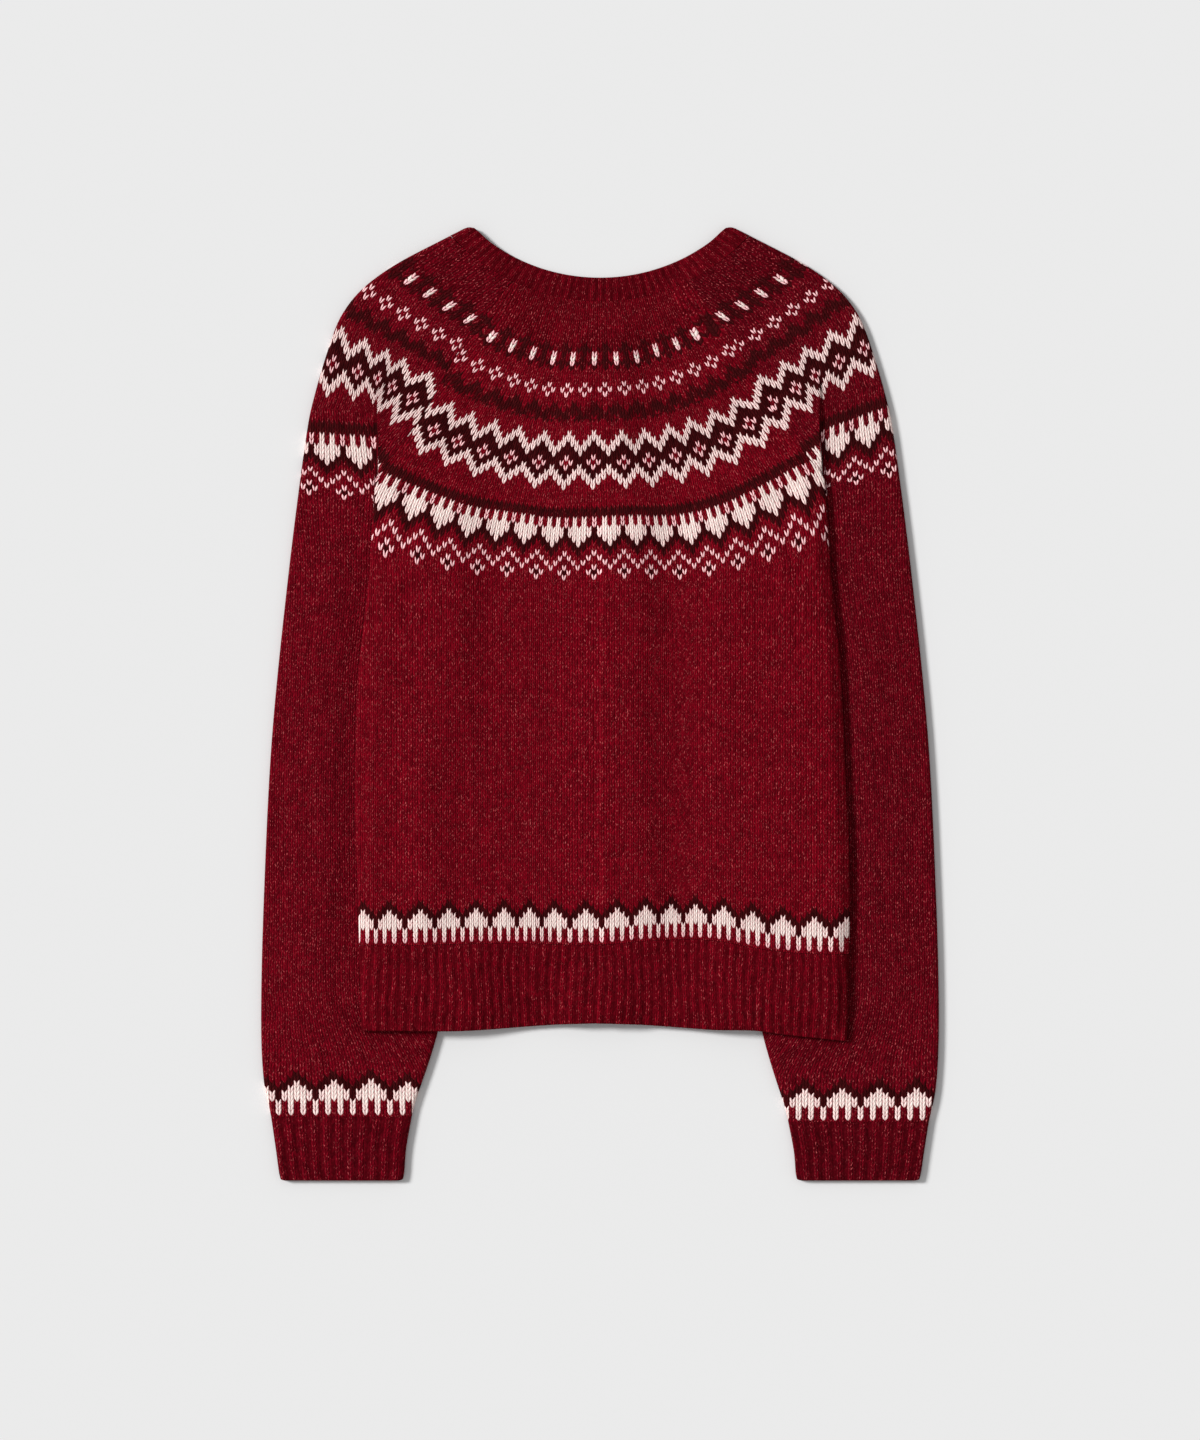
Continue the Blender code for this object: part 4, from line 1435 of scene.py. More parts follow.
@dataclass(frozen=True)
class Cuff:
    """A ribbed cuff, a tube laid flat."""

    side: Side
    drop: float = 0.0
    columns: int = 84
    cut: Cut = Cut(0.215, 0.049, 0.0098, "folded", ("the surface",))

    def build(self, finish: Material) -> Piece:
        """Makes the cuff: lines from seam to edge, half circles at both folds, ribs on the outer face.

        Args:
            finish: Its material.

        Returns:
            The new object.
        """
        share = CUFF_SHARES
        row_y = CUFF_TOP - CUFF_LENGTH * share
        fold_x, inner_x = Curve(CUFF_FOLD).x_at(row_y), Curve(CUFF_INNER).x_at(row_y)
        radius = EDGE / 2
        angle = RING_ANGLES
        flat = np.linspace(0.0, 1.0, self.columns)[None, 1:-1]
        grids = []
        for size in (radius, LAYER_GAP / 2):
            start = inner_x[:, None] + radius - size * np.cos(END_ANGLES)
            start_z = np.broadcast_to(radius + np.maximum(size * np.sin(END_ANGLES), SEAM_INSET), start.shape)
            low, high = inner_x[:, None] + radius, fold_x[:, None] - radius
            middle = low + (high - low) * flat
            middle_z = np.full_like(middle, radius + size)
            ring = fold_x[:, None] - radius + size * np.cos(angle)
            ring_z = np.broadcast_to(radius + size * np.sin(angle), ring.shape)
            x = np.hstack([start, middle, ring, middle[:, ::-1], start[:, ::-1]])
            z = np.hstack([start_z, middle_z, ring_z, EDGE - middle_z, EDGE - start_z[:, ::-1]])
            y = np.broadcast_to(row_y[:, None], x.shape)
            grids.append(np.dstack([x, y, z]))
        outer, inner = grids
        run = run_along(outer[:, :, [0, 2]])
        wales = run / run[:, -1:] * round(float(run[0, -1]) / CUFF_WALE / 2) * 2
        ribs = CUFF_RELIEF * np.cos(np.pi * wales) * smooth(np.minimum(wales, wales[:, -1:] - wales))
        upper = outer[..., 2] > EDGE / 2
        outer[..., 2] += np.where(upper, ribs, CUFF_RELIEF - ribs) * np.abs(outer[..., 2] - radius) / radius
        for grid in grids:
            grid[..., 1] -= (self.drop * (1 - share))[:, None]
        v = SLEEVE_ROWS + (share * CUFF_ROWS)[:, None] * np.ones_like(wales)
        flip = np.array([self.side.value, 1.0, 1.0])
        wall = Wall(outer * flip, inner * flip, wales[:-1], wales[1:], v)
        pinch(wall, np.arange(12, 16), edge_shares((1 - share[12:]) * CUFF_LENGTH, EDGE_RADIUS))
        return wall.build(f"rib_cuff_{self.side.word}", finish)


# ------------ the neckband and the front bands


@dataclass(frozen=True)
class Neckband:
    """The ribbed neckband, from one front end round the back neck to the other."""

    back_columns: int = 76  # of half the back
    front_columns: int = 80  # of each front
    corner: float = 6.0  # distance from each shoulder tip where the back's line ends
    corner_reach: float = 20.0  # distance from the tip up to which the corner's sides stand out
    cut: Cut = Cut(0.50, 0.0181, 0.0088, "laid", ("the surface", "front_left", "front_right"))

    def half(self, share: float) -> tuple[Array, Array, int]:
        """Right half of one line: outer and inner points from the centre back, and where the front starts.

        Args:
            share: Share of the band's width, from the neck's edge.

        Returns:
            The outer points, the inner points and the number of the front's first point.
        """
        tip = np.array(NECK_TIP) + (np.array(NECK_SEAM_TIP) - NECK_TIP) * share
        back_y = BACK_NECK_Y + (BACK_NECK_SEAM_Y - BACK_NECK_Y) * share
        front_y = FRONT_NECK_Y + (FRONT_NECK_SEAM_Y - FRONT_NECK_Y) * share
        x = (tip[0] - self.corner) * np.linspace(0.0, 1.0, self.back_columns)
        y = circle_height(x, tuple(tip), back_y) + SEAM_INSET
        rest = back_rest(x, y)
        last = np.array([x[-1], y[-1]])
        inward = unit(last - tip)
        angle = RING_ANGLES
        rings = []
        for size in (EDGE / 2, LAYER_GAP / 2):
            place = tip + inward * (EDGE / 2 - size * np.cos(angle))[:, None]
            rings.append(np.column_stack([place, EDGE / 2 + size * np.sin(angle)]))
        radius = circle_radius(tuple(tip), front_y)
        start = math.acos(1 - (tip[1] - front_y - EDGE) / radius)
        around = np.linspace(start, math.asin((BAND_HALF + SEAM_INSET) / radius), self.front_columns)
        size = radius - SEAM_INSET
        front = np.column_stack([size * np.sin(around), front_y + radius - size * np.cos(around)])
        lines = []
        for ring, back_z, front_z in zip(rings, (rest + WALL, rest), (0.0, WALL)):
            back, low = np.column_stack([x, y, back_z]), np.full_like(around, front_z)
            lines.append(np.vstack([back, ring, np.column_stack([front, low])]))
        return lines[0], lines[1], len(x) + len(angle)

    def build(self, finish: Material) -> Piece:
        """Makes the band in lines from the neck's edge to the seam, ribbed across.

        Args:
            finish: Its material.

        Returns:
            The new object.
        """
        share = NECK_SHARES
        grids = ([], [])
        runs = []
        for part in share:
            outer, inner, front = self.half(float(part))
            lower = np.arange(len(outer)) >= front
            run = run_along(outer[:, :2])
            for grid, line in zip(grids, (outer, inner)):
                right, left = line.copy(), line.copy()
                right[lower, 2] += band_lift(line[lower, 0], BUTTONHOLE_BAND_Z)
                left[lower, 2] += band_lift(line[lower, 0], BUTTON_BAND_Z)
                left[:, 0] *= -1
                grid.append(np.vstack([left[:0:-1], right]))
            runs.append(np.concatenate([-run[:0:-1], run]))
        outer, inner, run = np.array(grids[0]), np.array(grids[1]), np.array(runs)
        wales = run / run[:, -1:] * round(float(run[len(share) // 2, -1]) / NECK_WALE)
        away = np.sign(outer[..., 2] - inner[..., 2])
        relief = NECK_RELIEF * (np.cos(np.pi * wales) - 1)
        outer[..., 2] += np.where(away > 0, relief, -relief)
        for grid in (outer, inner):
            off = np.hypot(np.abs(grid[..., 0]) - NECK_TIP[0], grid[..., 1] - NECK_TIP[1])
            tip = np.clip(1 - off / self.corner, 0.0, 1.0)
            grid[..., 1] += TIP_ROUNDING * (smooth(1 - off / self.corner_reach) - tip**2)
        v = (share * NECK_ROWS - NECK_START)[:, None] * np.ones_like(wales)
        wall = Wall(outer, inner, wales[:-1], wales[1:], v)
        pinch(wall, np.arange(4), edge_shares(share[:4] * NECK_WIDTH, EDGE_RADIUS))
        return wall.build("rib_neckband", finish)


@dataclass(frozen=True)
class FrontBand:
    """A ribbed front band, from the neck to the hem."""

    name: str
    band_z: float
    edge_radius: float = 1.0
    thin_half: float = 0.15  # half the thickness at the very edge
    border: float = 1.8  # width beside each edge that has its own columns
    rows: int = 290
    columns: int = 9
    cut: Cut = Cut(0.03, 0.5065, 0.0152, "laid", ("the surface",))

    def build(self, finish: Material) -> Piece:
        """Makes the band, with ribs across it on its lower face.

        Args:
            finish: Its material.

        Returns:
            The new object.
        """
        y = np.linspace(FRONT_NECK_Y, HEM_BOTTOM, self.rows)
        inside = np.linspace(self.border - BAND_HALF, BAND_HALF - self.border, self.columns)
        x = np.concatenate([EDGE_STEPS[:4] - BAND_HALF, inside, BAND_HALF - EDGE_STEPS[3::-1]])
        across, down = np.meshgrid(x, y)
        wales = (FRONT_NECK_Y - down) / WALE
        relief = BAND_RELIEF * (1 + np.cos(np.pi * wales))
        middle = self.band_z + BAND_WALL / 2
        edge = np.minimum(BAND_HALF - np.abs(across), np.minimum(FRONT_NECK_Y - down, down - HEM_BOTTOM))
        half = np.maximum(BAND_WALL / 2 * edge_shares(edge, self.edge_radius), self.thin_half)
        half = np.where(edge > self.edge_radius, BAND_WALL / 2, half)
        outer = np.dstack([across, down, middle - half + 2 * BAND_RELIEF - relief])
        inner = np.dstack([across, down, middle + half])
        v = across / ROW
        wall = Wall(outer, inner, wales[:-1], wales[1:], v)
        return wall.build(f"rib_{self.name}", finish)


@dataclass(frozen=True)
class Button:
    """A round horn button, its face down, with a rim and four holes sewn through with yarn."""

    number: int
    height: float
    rings: int = 26
    spokes: int = 72
    face_end: float = 0.80  # share of the radius where the sunk face ends
    rim_start: float = 0.93  # and where the rim starts to round off
    rim_round: float = 0.55
    back_round: float = 0.25
    hole_depth: float = 0.8
    yarn_radius: float = 0.32
    yarn_steps: int = 12
    yarn_sides: int = 10

    def build(self, horn: Material, thread: Material) -> tuple[Piece, Piece]:
        """Makes the button and its thread.

        The face is a polar grid: sunk inside a raised rim, and sunk deeper where a hole is.

        Args:
            horn: The button's material.
            thread: The thread's material.

        Returns:
            The button and its thread.
        """
        shares = np.concatenate([np.linspace(0.03, 0.93, self.rings - 4), [0.96, 0.985, 0.996, 1.0]])
        angle = np.linspace(0.0, 2 * math.pi, self.spokes, endpoint=False)
        r, a = np.meshgrid(shares * BUTTON_RADIUS, angle, indexing="ij")
        x, y = r * np.cos(a), r * np.sin(a)
        share = r / BUTTON_RADIUS
        face = BUTTON_FACE * smooth((self.face_end - share) / 0.10)
        face = face + self.rim_round * smooth((share - self.rim_start) / 0.07)
        hole = np.hypot(np.abs(x) - HOLE_PLACE, np.abs(y) - HOLE_PLACE)
        face = face + self.hole_depth * smooth((HOLE_RADIUS - hole) / 0.3)
        back = BUTTON_THICK - self.back_round * smooth((share - 0.88) / 0.12)
        points = np.vstack(
            [
                np.column_stack([x.ravel(), y.ravel() + self.height, face.ravel()]),
                np.column_stack([x.ravel(), y.ravel() + self.height, back.ravel()]),
                [[0.0, self.height, BUTTON_FACE], [0.0, self.height, BUTTON_THICK]],
            ]
        )
        index = np.arange(r.size).reshape(r.shape)
        after = np.roll(index, -1, axis=1)
        lower = ring_quads(index)
        upper = lower[:, ::-1] + r.size
        side = np.stack([index[-1], index[-1] + r.size, after[-1] + r.size, after[-1]], axis=-1)
        faces = np.vstack([lower, upper, side]).tolist()
        centre = 2 * r.size
        faces += [[centre, int(i), int(j)] for i, j in zip(index[0], after[0])]
        faces += [[centre + 1, int(j) + r.size, int(i) + r.size] for i, j in zip(index[0], after[0])]
        faces = [corners[::-1] for corners in faces]
        button = smooth_piece(f"horn_button_{self.number}", points, faces, horn)
        return button, self.thread(thread)

    def thread(self, finish: Material) -> Piece:
        """Makes two bars of yarn across the holes, each a bowed tube.

        Args:
            finish: Its material.

        Returns:
            The new object.
        """
        t = np.linspace(0.0, 1.0, self.yarn_steps)
        turn = np.linspace(0.0, 2 * math.pi, self.yarn_sides, endpoint=False)
        points, faces = [], []
        for bar in (-HOLE_PLACE, HOLE_PLACE):
            bow = 0.95 - 0.7 * np.sin(math.pi * t)  # from inside one hole over the face into the next
            centre = np.column_stack([HOLE_PLACE * (2 * t - 1), 0 * t + bar, bow])
            ring = self.yarn_radius * np.stack([0 * turn, np.cos(turn), np.sin(turn)], axis=-1)
            first = len(points) * len(t) * len(turn)
            points.append((centre[:, None] + ring[None]).reshape(-1, 3) + [0.0, self.height, 0.0])
            index = first + np.arange(len(t) * len(turn)).reshape(len(t), len(turn))
            faces += ring_quads(index)[:, ::-1].tolist()
            faces += [index[0].tolist(), index[-1][::-1].tolist()]
        return smooth_piece(f"thread_{self.number}", np.vstack(points), faces, finish)


# ------------ the finishes


class Graph:
    """Adds shader nodes to a tree and joins them."""

    def __init__(self, tree: Tree) -> None:
        """Keeps the tree."""
        self.tree = tree

    def put(self, socket: Socket, value: object) -> None:
        """Links a socket to another, or sets its value.

        Args:
            socket: The socket that takes it.
            value: The other socket, or the value.
        """
        if isinstance(value, Socket):
            self.tree.links.new(value, socket)
        else:
            socket.default_value = value

    def feed(self, node: Node, **values: object) -> Node:
        """Gives a node inputs by name.

        Args:
            node: The node.
            **values: The inputs; an underscore in a name stands for a space.

        Returns:
            The node.
        """
        for name, value in values.items():
            self.put(node.inputs[name.replace("_", " ")], value)
        return node

    def node(self, kind: str, *values: object, **settings: object) -> Node:
        """Adds a node.

        Args:
            kind: The node's type, without its first word ShaderNode.
            *values: Its first inputs.
            **settings: Its properties.

        Returns:
            The node.
        """
        new = self.tree.nodes.new(f"ShaderNode{kind}")
        for name, value in settings.items():
            setattr(new, name, value)
        for socket, value in zip(new.inputs, values):
            self.put(socket, value)
        return new

    def math(self, operation: str, *values: object, clamp: bool = False) -> Socket:
        """The result of a math node."""
        return self.node("Math", *values, operation=operation, use_clamp=clamp).outputs[0]

    def plus(self, first: object, second: object) -> Socket:
        """A sum."""
        return self.math("ADD", first, second)

    def minus(self, first: object, second: object) -> Socket:
        """A difference."""
        return self.math("SUBTRACT", first, second)

    def times(self, first: object, second: object) -> Socket:
        """A product."""
        return self.math("MULTIPLY", first, second)

    def fit(self, value: object, factor: object, added: object) -> Socket:
        """A number times a factor, with another number added."""
        return self.math("MULTIPLY_ADD", value, factor, added)

    def vector(self, operation: str, *values: object) -> Socket:
        """The vector of a vector math node."""
        return self.node("VectorMath", *values, operation=operation).outputs[0]

    def scaled(self, vector: object, factor: object) -> Socket:
        """A vector times a number."""
        new = self.node("VectorMath", vector, operation="SCALE")
        return self.feed(new, Scale=factor).outputs[0]

    def combine(self, x: object, y: object, z: object) -> Socket:
        """A vector of three numbers."""
        return self.node("CombineXYZ", x, y, z).outputs[0]

    def split(self, vector: object) -> tuple[Socket, ...]:
        """The three numbers of a vector."""
        return tuple(self.node("SeparateXYZ", vector).outputs)

    def noise(self, vector: object, scale: float, detail: float, rough: float) -> tuple[Socket, ...]:
        """Value and colour of a noise."""
        new = self.node("TexNoise")
        return tuple(self.feed(new, Vector=vector, Scale=scale, Detail=detail, Roughness=rough).outputs)[:2]

    def mix(self, factor: object, first: object, second: object) -> Socket:
        """A mix of two colours.

        Args:
            factor: The share of the second.
            first: The first colour.
            second: The second colour.

        Returns:
            The mixed colour.
        """
        new = self.node("Mix", factor, data_type="RGBA")
        self.put(new.inputs[6], first)
        self.put(new.inputs[7], second)
        return new.outputs[2]

    def ease(self, value: object, low: object, high: object) -> Socket:
        """Goes softly from 0 to 1 as the value goes from low to high."""
        return self.node("MapRange", value, low, high, interpolation_type="SMOOTHSTEP").outputs[0]

    def use(self, group: Tree, **values: object) -> Node:
        """Adds a group and gives it its inputs."""
        return self.feed(self.node("Group", node_tree=group), **values)


def new_group(
    name: str, inputs: dict[str, str], outputs: dict[str, str]
) -> tuple[Tree, Graph, Node, Node]:
    """An empty node group.

    Args:
        name: The group's name.
        inputs: Names of the input sockets with their kinds, such as Float.
        outputs: The same for the output sockets.

    Returns:
        The group, its graph, its input node and its output node.
    """
    tree = bpy.data.node_groups.new(name, "ShaderNodeTree")
    for sockets, way in ((inputs, "INPUT"), (outputs, "OUTPUT")):
        for socket, kind in sockets.items():
            tree.interface.new_socket(socket, in_out=way, socket_type=f"NodeSocket{kind}")
    given, out = (tree.nodes.new(kind) for kind in ("NodeGroupInput", "NodeGroupOutput"))
    return tree, Graph(tree), given, out


def new_material(name: str) -> tuple[Material, Graph, bpy.types.ShaderNode]:
    """A new material.

    Args:
        name: Its name.

    Returns:
        The material, its graph and its Principled shader.
    """
    material = bpy.data.materials.new(name)
    material.use_nodes = True
    return material, Graph(material.node_tree), material.node_tree.nodes["Principled BSDF"]


def stitch_group() -> Tree:
    """Knit stitches from stitch places: each column holds a V in each row, its point towards the hem.

    A place is first shaken by noise, which frays the edges of the yarn. Then the column is the nearest whole
    number, and the row is the whole part of v less a lean that grows towards the middle of the column. Height
    is highest in the middle of each leg.

    Returns:
        The group.
    """
    outputs = dict.fromkeys(("Column", "Row", "Height", "Fibre", "Fleck", "Tone"), "Float")
    inputs = {"Place": "Vector", "Lean": "Float", "Fray": "Float"}
    tree, g, given, out = new_group("knit_stitch", inputs, outputs)
    _, shake = g.noise(given.outputs["Place"], 2.3, 3.0, 0.65)
    shake = g.vector("MULTIPLY", g.vector("SUBTRACT", shake, (0.5, 0.5, 0.5)), (0.9, 1.3, 0.0))
    place = g.vector("ADD", given.outputs["Place"], g.scaled(shake, given.outputs["Fray"]))
    u, v, _ = g.split(place)
    column = g.math("FLOOR", g.plus(u, 0.5))
    off = g.minus(u, column)
    away = g.times(g.math("ABSOLUTE", off), 2.0)
    lean = g.times(given.outputs["Lean"], g.minus(1.0, away))
    lowered = g.minus(v, lean)
    row = g.math("FLOOR", lowered)
    within = g.minus(lowered, row)
    leg = g.minus(1.0, g.math("POWER", g.fit(away, 2.15, -1.0), 2.0))
    bend = g.math("POWER", g.fit(within, 2.0, -1.0), 2.0)
    loop = g.minus(1.0, g.times(bend, 0.7))
    height = g.times(g.math("POWER", g.math("MAXIMUM", leg, 0.0), 0.7), loop)
    leg_side = g.times(g.math("SIGN", off), 0.31)
    strands = g.combine(g.times(u, 5.0), g.times(lowered, 1.9), g.plus(column, leg_side))
    fibre, _ = g.noise(strands, 1.6, 3.0, 0.7)
    fleck, _ = g.noise(g.vector("ADD", strands, (31.0, 17.0, 5.0)), 1.15, 1.0, 0.5)
    tone = g.node("TexWhiteNoise", g.combine(column, row, leg_side), noise_dimensions="3D")
    g.feed(out, Column=column, Row=row, Height=height, Fibre=fibre, Fleck=fleck, Tone=tone.outputs["Value"])
    return tree


def wale_group() -> Tree:
    """Rib from stitches: even columns stand up, odd columns are grooves of low cross loops.

    Returns:
        The group.
    """
    inputs, outputs = {"Place": "Vector", "Height": "Float"}, {"Height": "Float", "Groove": "Float"}
    tree, g, given, out = new_group("rib_wales", inputs, outputs)
    _, bend = g.noise(given.outputs["Place"], 0.3, 2.0, 0.5)
    bend = g.scaled(g.vector("SUBTRACT", bend, (0.5, 0.5, 0.5)), 1.1)
    u, v, _ = g.split(g.vector("ADD", given.outputs["Place"], bend))
    swing = g.math("COSINE", g.times(u, math.pi))
    groove = g.ease(g.times(swing, -1.0), -0.15, 0.85)
    loops = g.fit(g.math("SINE", g.times(v, 2 * math.pi)), 0.12, 0.30)
    new = g.node("Mix", data_type="FLOAT")
    g.put(new.inputs[0], g.times(groove, 0.8))
    g.put(new.inputs[2], given.outputs["Height"])
    g.put(new.inputs[3], loops)
    g.feed(out, Height=new.outputs[0], Groove=groove)
    return tree


def wool_group() -> Tree:
    """Colour of wool: the charted yarn with painted shade between loops and in the ribs' grooves, with fibre,
    odd flecks and soft clouding.

    Returns:
        The group.
    """
    yarns = dict.fromkeys(("Ground", "Light Yarn", "Dark Yarn", "Fleck Yarn"), "Color")
    masks = ("Light", "Dark", "Thin", "Row", "Height", "Fibre", "Fleck", "Tone", "Groove")
    inputs = {"Spot": "Vector"} | yarns | dict.fromkeys(masks, "Float")
    tree, g, given, out = new_group("wool_colour", inputs, {"Color": "Color"})
    read = given.outputs
    cloud, _ = g.noise(read["Spot"], 95.0, 2.0, 0.55)
    # painted shade between loops and in the ribs' grooves; uneven from stitch to stitch and along the fibres
    shade = g.fit(read["Height"], 0.50, 0.70)
    shade = g.times(shade, g.fit(read["Tone"], 0.60, 0.70))
    shade = g.times(shade, g.fit(read["Fibre"], 2.2, -0.10))
    shade = g.times(shade, g.fit(cloud, 0.5, 0.75))
    shade = g.times(shade, g.fit(read["Groove"], -0.38, 1.10))
    # painted shade: the first rows of the yoke are darker, and the neckband a little
    neck = g.fit(g.ease(read["Row"], 7.0, 18.0), 0.20, 0.80)
    neck = g.fit(g.math("LESS_THAN", read["Row"], 0.0), 0.11, neck)
    ground = g.scaled(read["Ground"], g.times(shade, neck))
    specks = g.times(g.ease(read["Fleck"], 0.615, 0.70), g.ease(read["Height"], 0.20, 0.6))
    specks = g.times(specks, g.fit(read["Groove"], -0.7, 0.80))
    ground = g.mix(specks, ground, read["Fleck Yarn"])
    # light yarn takes less of the painted shade and is pink at its rim, and pinker all over where it is thin
    soft = g.fit(g.minus(shade, 1.0), 0.27, 1.03)
    pink = g.math("POWER", read["Thin"], 2.0)
    rim = g.mix(pink, (0.84, 0.49, 0.47, 1.0), (0.98, 0.27, 0.31, 1.0))
    core = g.mix(pink, read["Light Yarn"], (1.0, 0.60, 0.61, 1.0))
    pale = g.mix(g.ease(read["Height"], 0.15, g.fit(pink, 0.30, 0.50)), rim, core)
    pale = g.scaled(pale, soft)
    dark = g.scaled(read["Dark Yarn"], shade)
    # a muted dark is weaker on some stitches than on others
    mottle = g.times(g.minus(1.0, read["Dark"]), g.minus(read["Tone"], 0.35))
    mottled = g.math("MULTIPLY", read["Dark"], g.fit(mottle, 8.0, 1.0), clamp=True)
    both = g.mix(mottled, ground, dark)
    low = g.fit(read["Thin"], 0.45, -0.09)
    stroke = g.ease(read["Height"], low, g.plus(low, 0.20))
    light = g.times(read["Light"], stroke)
    g.feed(out, Color=g.mix(light, both, pale))
    return tree


# What the letters of a chart stand for: light, dark and thin yarn
YARNS = {
    "W": (1.0, 0.0, 0.0, 1.0),
    "w": (1.0, 0.0, 0.55, 1.0),
    "v": (1.0, 0.0, 1.0, 1.0),
    "D": (0.0, 1.0, 0.0, 1.0),
    "m": (0.0, 0.82, 0.0, 1.0),
    ".": (0.0, 0.0, 0.0, 1.0),
}


@dataclass(frozen=True)
class Chart:
    """A charted band: its first row, the stitches of a repeat and a word for each row from the neck.

    A word gives the yarn at 0, 1, 2 ... stitches from the middle of the repeat: W light, w light and slim,
    v light and thin, D dark, m a muted dark, . ground.
    """

    name: str
    first: int
    repeat: int
    words: str
    outputs: tuple[str, ...] = ("Light", "Dark", "Thin")

    def group(self) -> Tree:
        """Node group that reads the chart: one stepped ramp of rows for each distance from the middle.

        Returns:
            The group.
        """
        inputs, outputs = (dict.fromkeys(names, "Float") for names in (("Column", "Row"), self.outputs))
        tree, g, given, out = new_group(self.name, inputs, outputs)
        words = self.words.split()
        blank = "." * len(words[0])
        words = [blank, *words, blank]
        place = g.math("DIVIDE", g.plus(given.outputs["Row"], 1.5 - self.first), float(len(words)))
        away = g.math("PINGPONG", given.outputs["Column"], self.repeat / 2)
        total = (0.0, 0.0, 0.0)
        for distance in range(len(words[0])):
            ramp = g.node("ValToRGB")
            self.fill(ramp.color_ramp, "".join(word[distance] for word in words))
            g.put(ramp.inputs[0], place)
            here = g.math("COMPARE", away, float(distance), 0.4)
            total = g.vector("ADD", total, g.scaled(ramp.outputs[0], here))
        g.feed(out, **dict(zip(self.outputs, g.split(total))))
        return tree

    def fill(self, ramp: bpy.types.ColorRamp, letters: str) -> None:
        """Sets a ramp's stops, one where the yarn changes.

        Args:
            ramp: The ramp, which is changed.
            letters: The yarn of each row.
        """
        ramp.interpolation = "CONSTANT"
        ramp.elements.remove(ramp.elements[-1])
        ramp.elements[0].position = 0.0
        ramp.elements[0].color = YARNS[letters[0]]
        for number in range(1, len(letters)):
            if letters[number] != letters[number - 1]:
                ramp.elements.new(number / len(letters)).color = YARNS[letters[number]]


UPPER_YOKE = Chart(
    "chart_upper_yoke", 9, 4, "..m .mm v.m W.m vmm m.m ... ... ... v.. .v. v.. ... ..m .mm mmm mm."
)
LOWER_YOKE = Chart(
    "chart_lower_yoke",
    28,
    6,
    "w... ww.. Dww. DDww DDDw vDDD .vDD vDDw DDww Dww. ww.. w... .... .... .... .... "
    "mDmD mmmm .w.v .W.v WWwD WWwD WwDD wDD. DD.. D..v ..v. .v.. v..v ..vD ...v",
)
HEM_BAND = Chart("chart_hem", 127, 6, "D... DD.. wDD. WwDD WWwD WWwD .W.w .w.w .v.v")
CUFF_BAND = Chart("chart_cuff", 182, 6, "D... DD.. wDD. WwDD WWwD WWwD .W.w .w.w .w.w")


# Wine wool of each kind of piece; the sleeves and the cuffs are darker than the body, and the right ones
# darker again as painted shade, since the key light comes from the left
BODY_WINE = (0.145, 0.0014, 0.0066, 1.0)
RIB_WINE = (0.138, 0.0014, 0.0064, 1.0)
# painted shade: the right sleeve and the right cuff are darker than the left ones
SLEEVE_WINE_AND_SHADE = {Side.LEFT: (0.128, 0.0014, 0.0064, 1.0), Side.RIGHT: (0.112, 0.0014, 0.0060, 1.0)}
CUFF_WINE_AND_SHADE = {Side.LEFT: (0.116, 0.0014, 0.0060, 1.0), Side.RIGHT: (0.104, 0.0014, 0.0056, 1.0)}


@dataclass(frozen=True)
class WoolFinish:
    """Knitted wool: its yarns, the charts worked into it and whether it is ribbed."""

    name: str
    ground: Colour
    charts: tuple[Chart, ...] = ()
    ribbed: bool = False
    light: Colour = (0.95, 0.785, 0.725, 1.0)
    dark: Colour = (0.037, 0.0030, 0.0038, 1.0)
    fleck: Colour = (0.56, 0.100, 0.105, 1.0)
    roughness: float = 0.95
    relief: float = 0.0006
    lean: float = 0.85  # how many rows each leg of a V runs down
    fray: float = 0.25  # how far noise shakes the edges of the yarn

    def build(self, groups: dict[str, Tree]) -> Material:
        """Makes the material.

        Args:
            groups: The shared node groups by name.

        Returns:
            The material.
        """
        material, g, shader = new_material(self.name)
        place = g.node("UVMap", uv_map="stitch").outputs[0]
        spot = g.node("TexCoord").outputs["Object"]
        stitch = g.use(groups["knit_stitch"], Place=place, Lean=self.lean, Fray=self.fray).outputs
        height, groove = stitch["Height"], 0.0
        if self.ribbed:
            wales = g.use(groups["rib_wales"], Place=place, Height=height).outputs
            height, groove = wales["Height"], wales["Groove"]
        light, dark, thin = 0.0, 0.0, 0.0
        for chart in self.charts:
            read = g.use(groups[chart.name], Column=stitch["Column"], Row=stitch["Row"]).outputs
            light = g.plus(read["Light"], light)
            dark = g.plus(read["Dark"], dark)
            thin = g.plus(read["Thin"], thin)
        colour = g.use(
            groups["wool_colour"],
            Spot=spot,
            Ground=self.ground,
            Light_Yarn=self.light,
            Dark_Yarn=self.dark,
            Fleck_Yarn=self.fleck,
            Light=light,
            Dark=dark,
            Thin=thin,
            Row=stitch["Row"],
            Height=height,
            Fibre=stitch["Fibre"],
            Fleck=stitch["Fleck"],
            Tone=stitch["Tone"],
            Groove=groove,
        ).outputs[0]
        relief = g.fit(stitch["Fibre"], 0.35, height)
        bump = g.feed(g.node("Bump"), Strength=1.0, Distance=self.relief, Height=relief)
        g.feed(shader, Base_Color=colour, Normal=bump.outputs[0])
        g.feed(shader, Roughness=self.roughness, Specular_IOR_Level=0.02)
        return material


@dataclass(frozen=True)
class HornFinish:
    """Dark polished horn with paler streaks."""

    name: str = "horn"
    dark: Colour = (0.035, 0.016, 0.010, 1.0)
    pale: Colour = (0.16, 0.075, 0.035, 1.0)

    def build(self) -> Material:
        """Makes the material.

        Returns:
            The material.
        """
        material, g, shader = new_material(self.name)
        spot = g.node("TexCoord").outputs["Object"]
        streak, _ = g.noise(g.vector("MULTIPLY", spot, (900.0, 160.0, 400.0)), 1.0, 4.0, 0.6)
        colour = g.mix(g.ease(streak, 0.45, 0.75), self.dark, self.pale)
        g.feed(shader, Base_Color=colour, Roughness=0.32)
        return material


# ------------ the studio


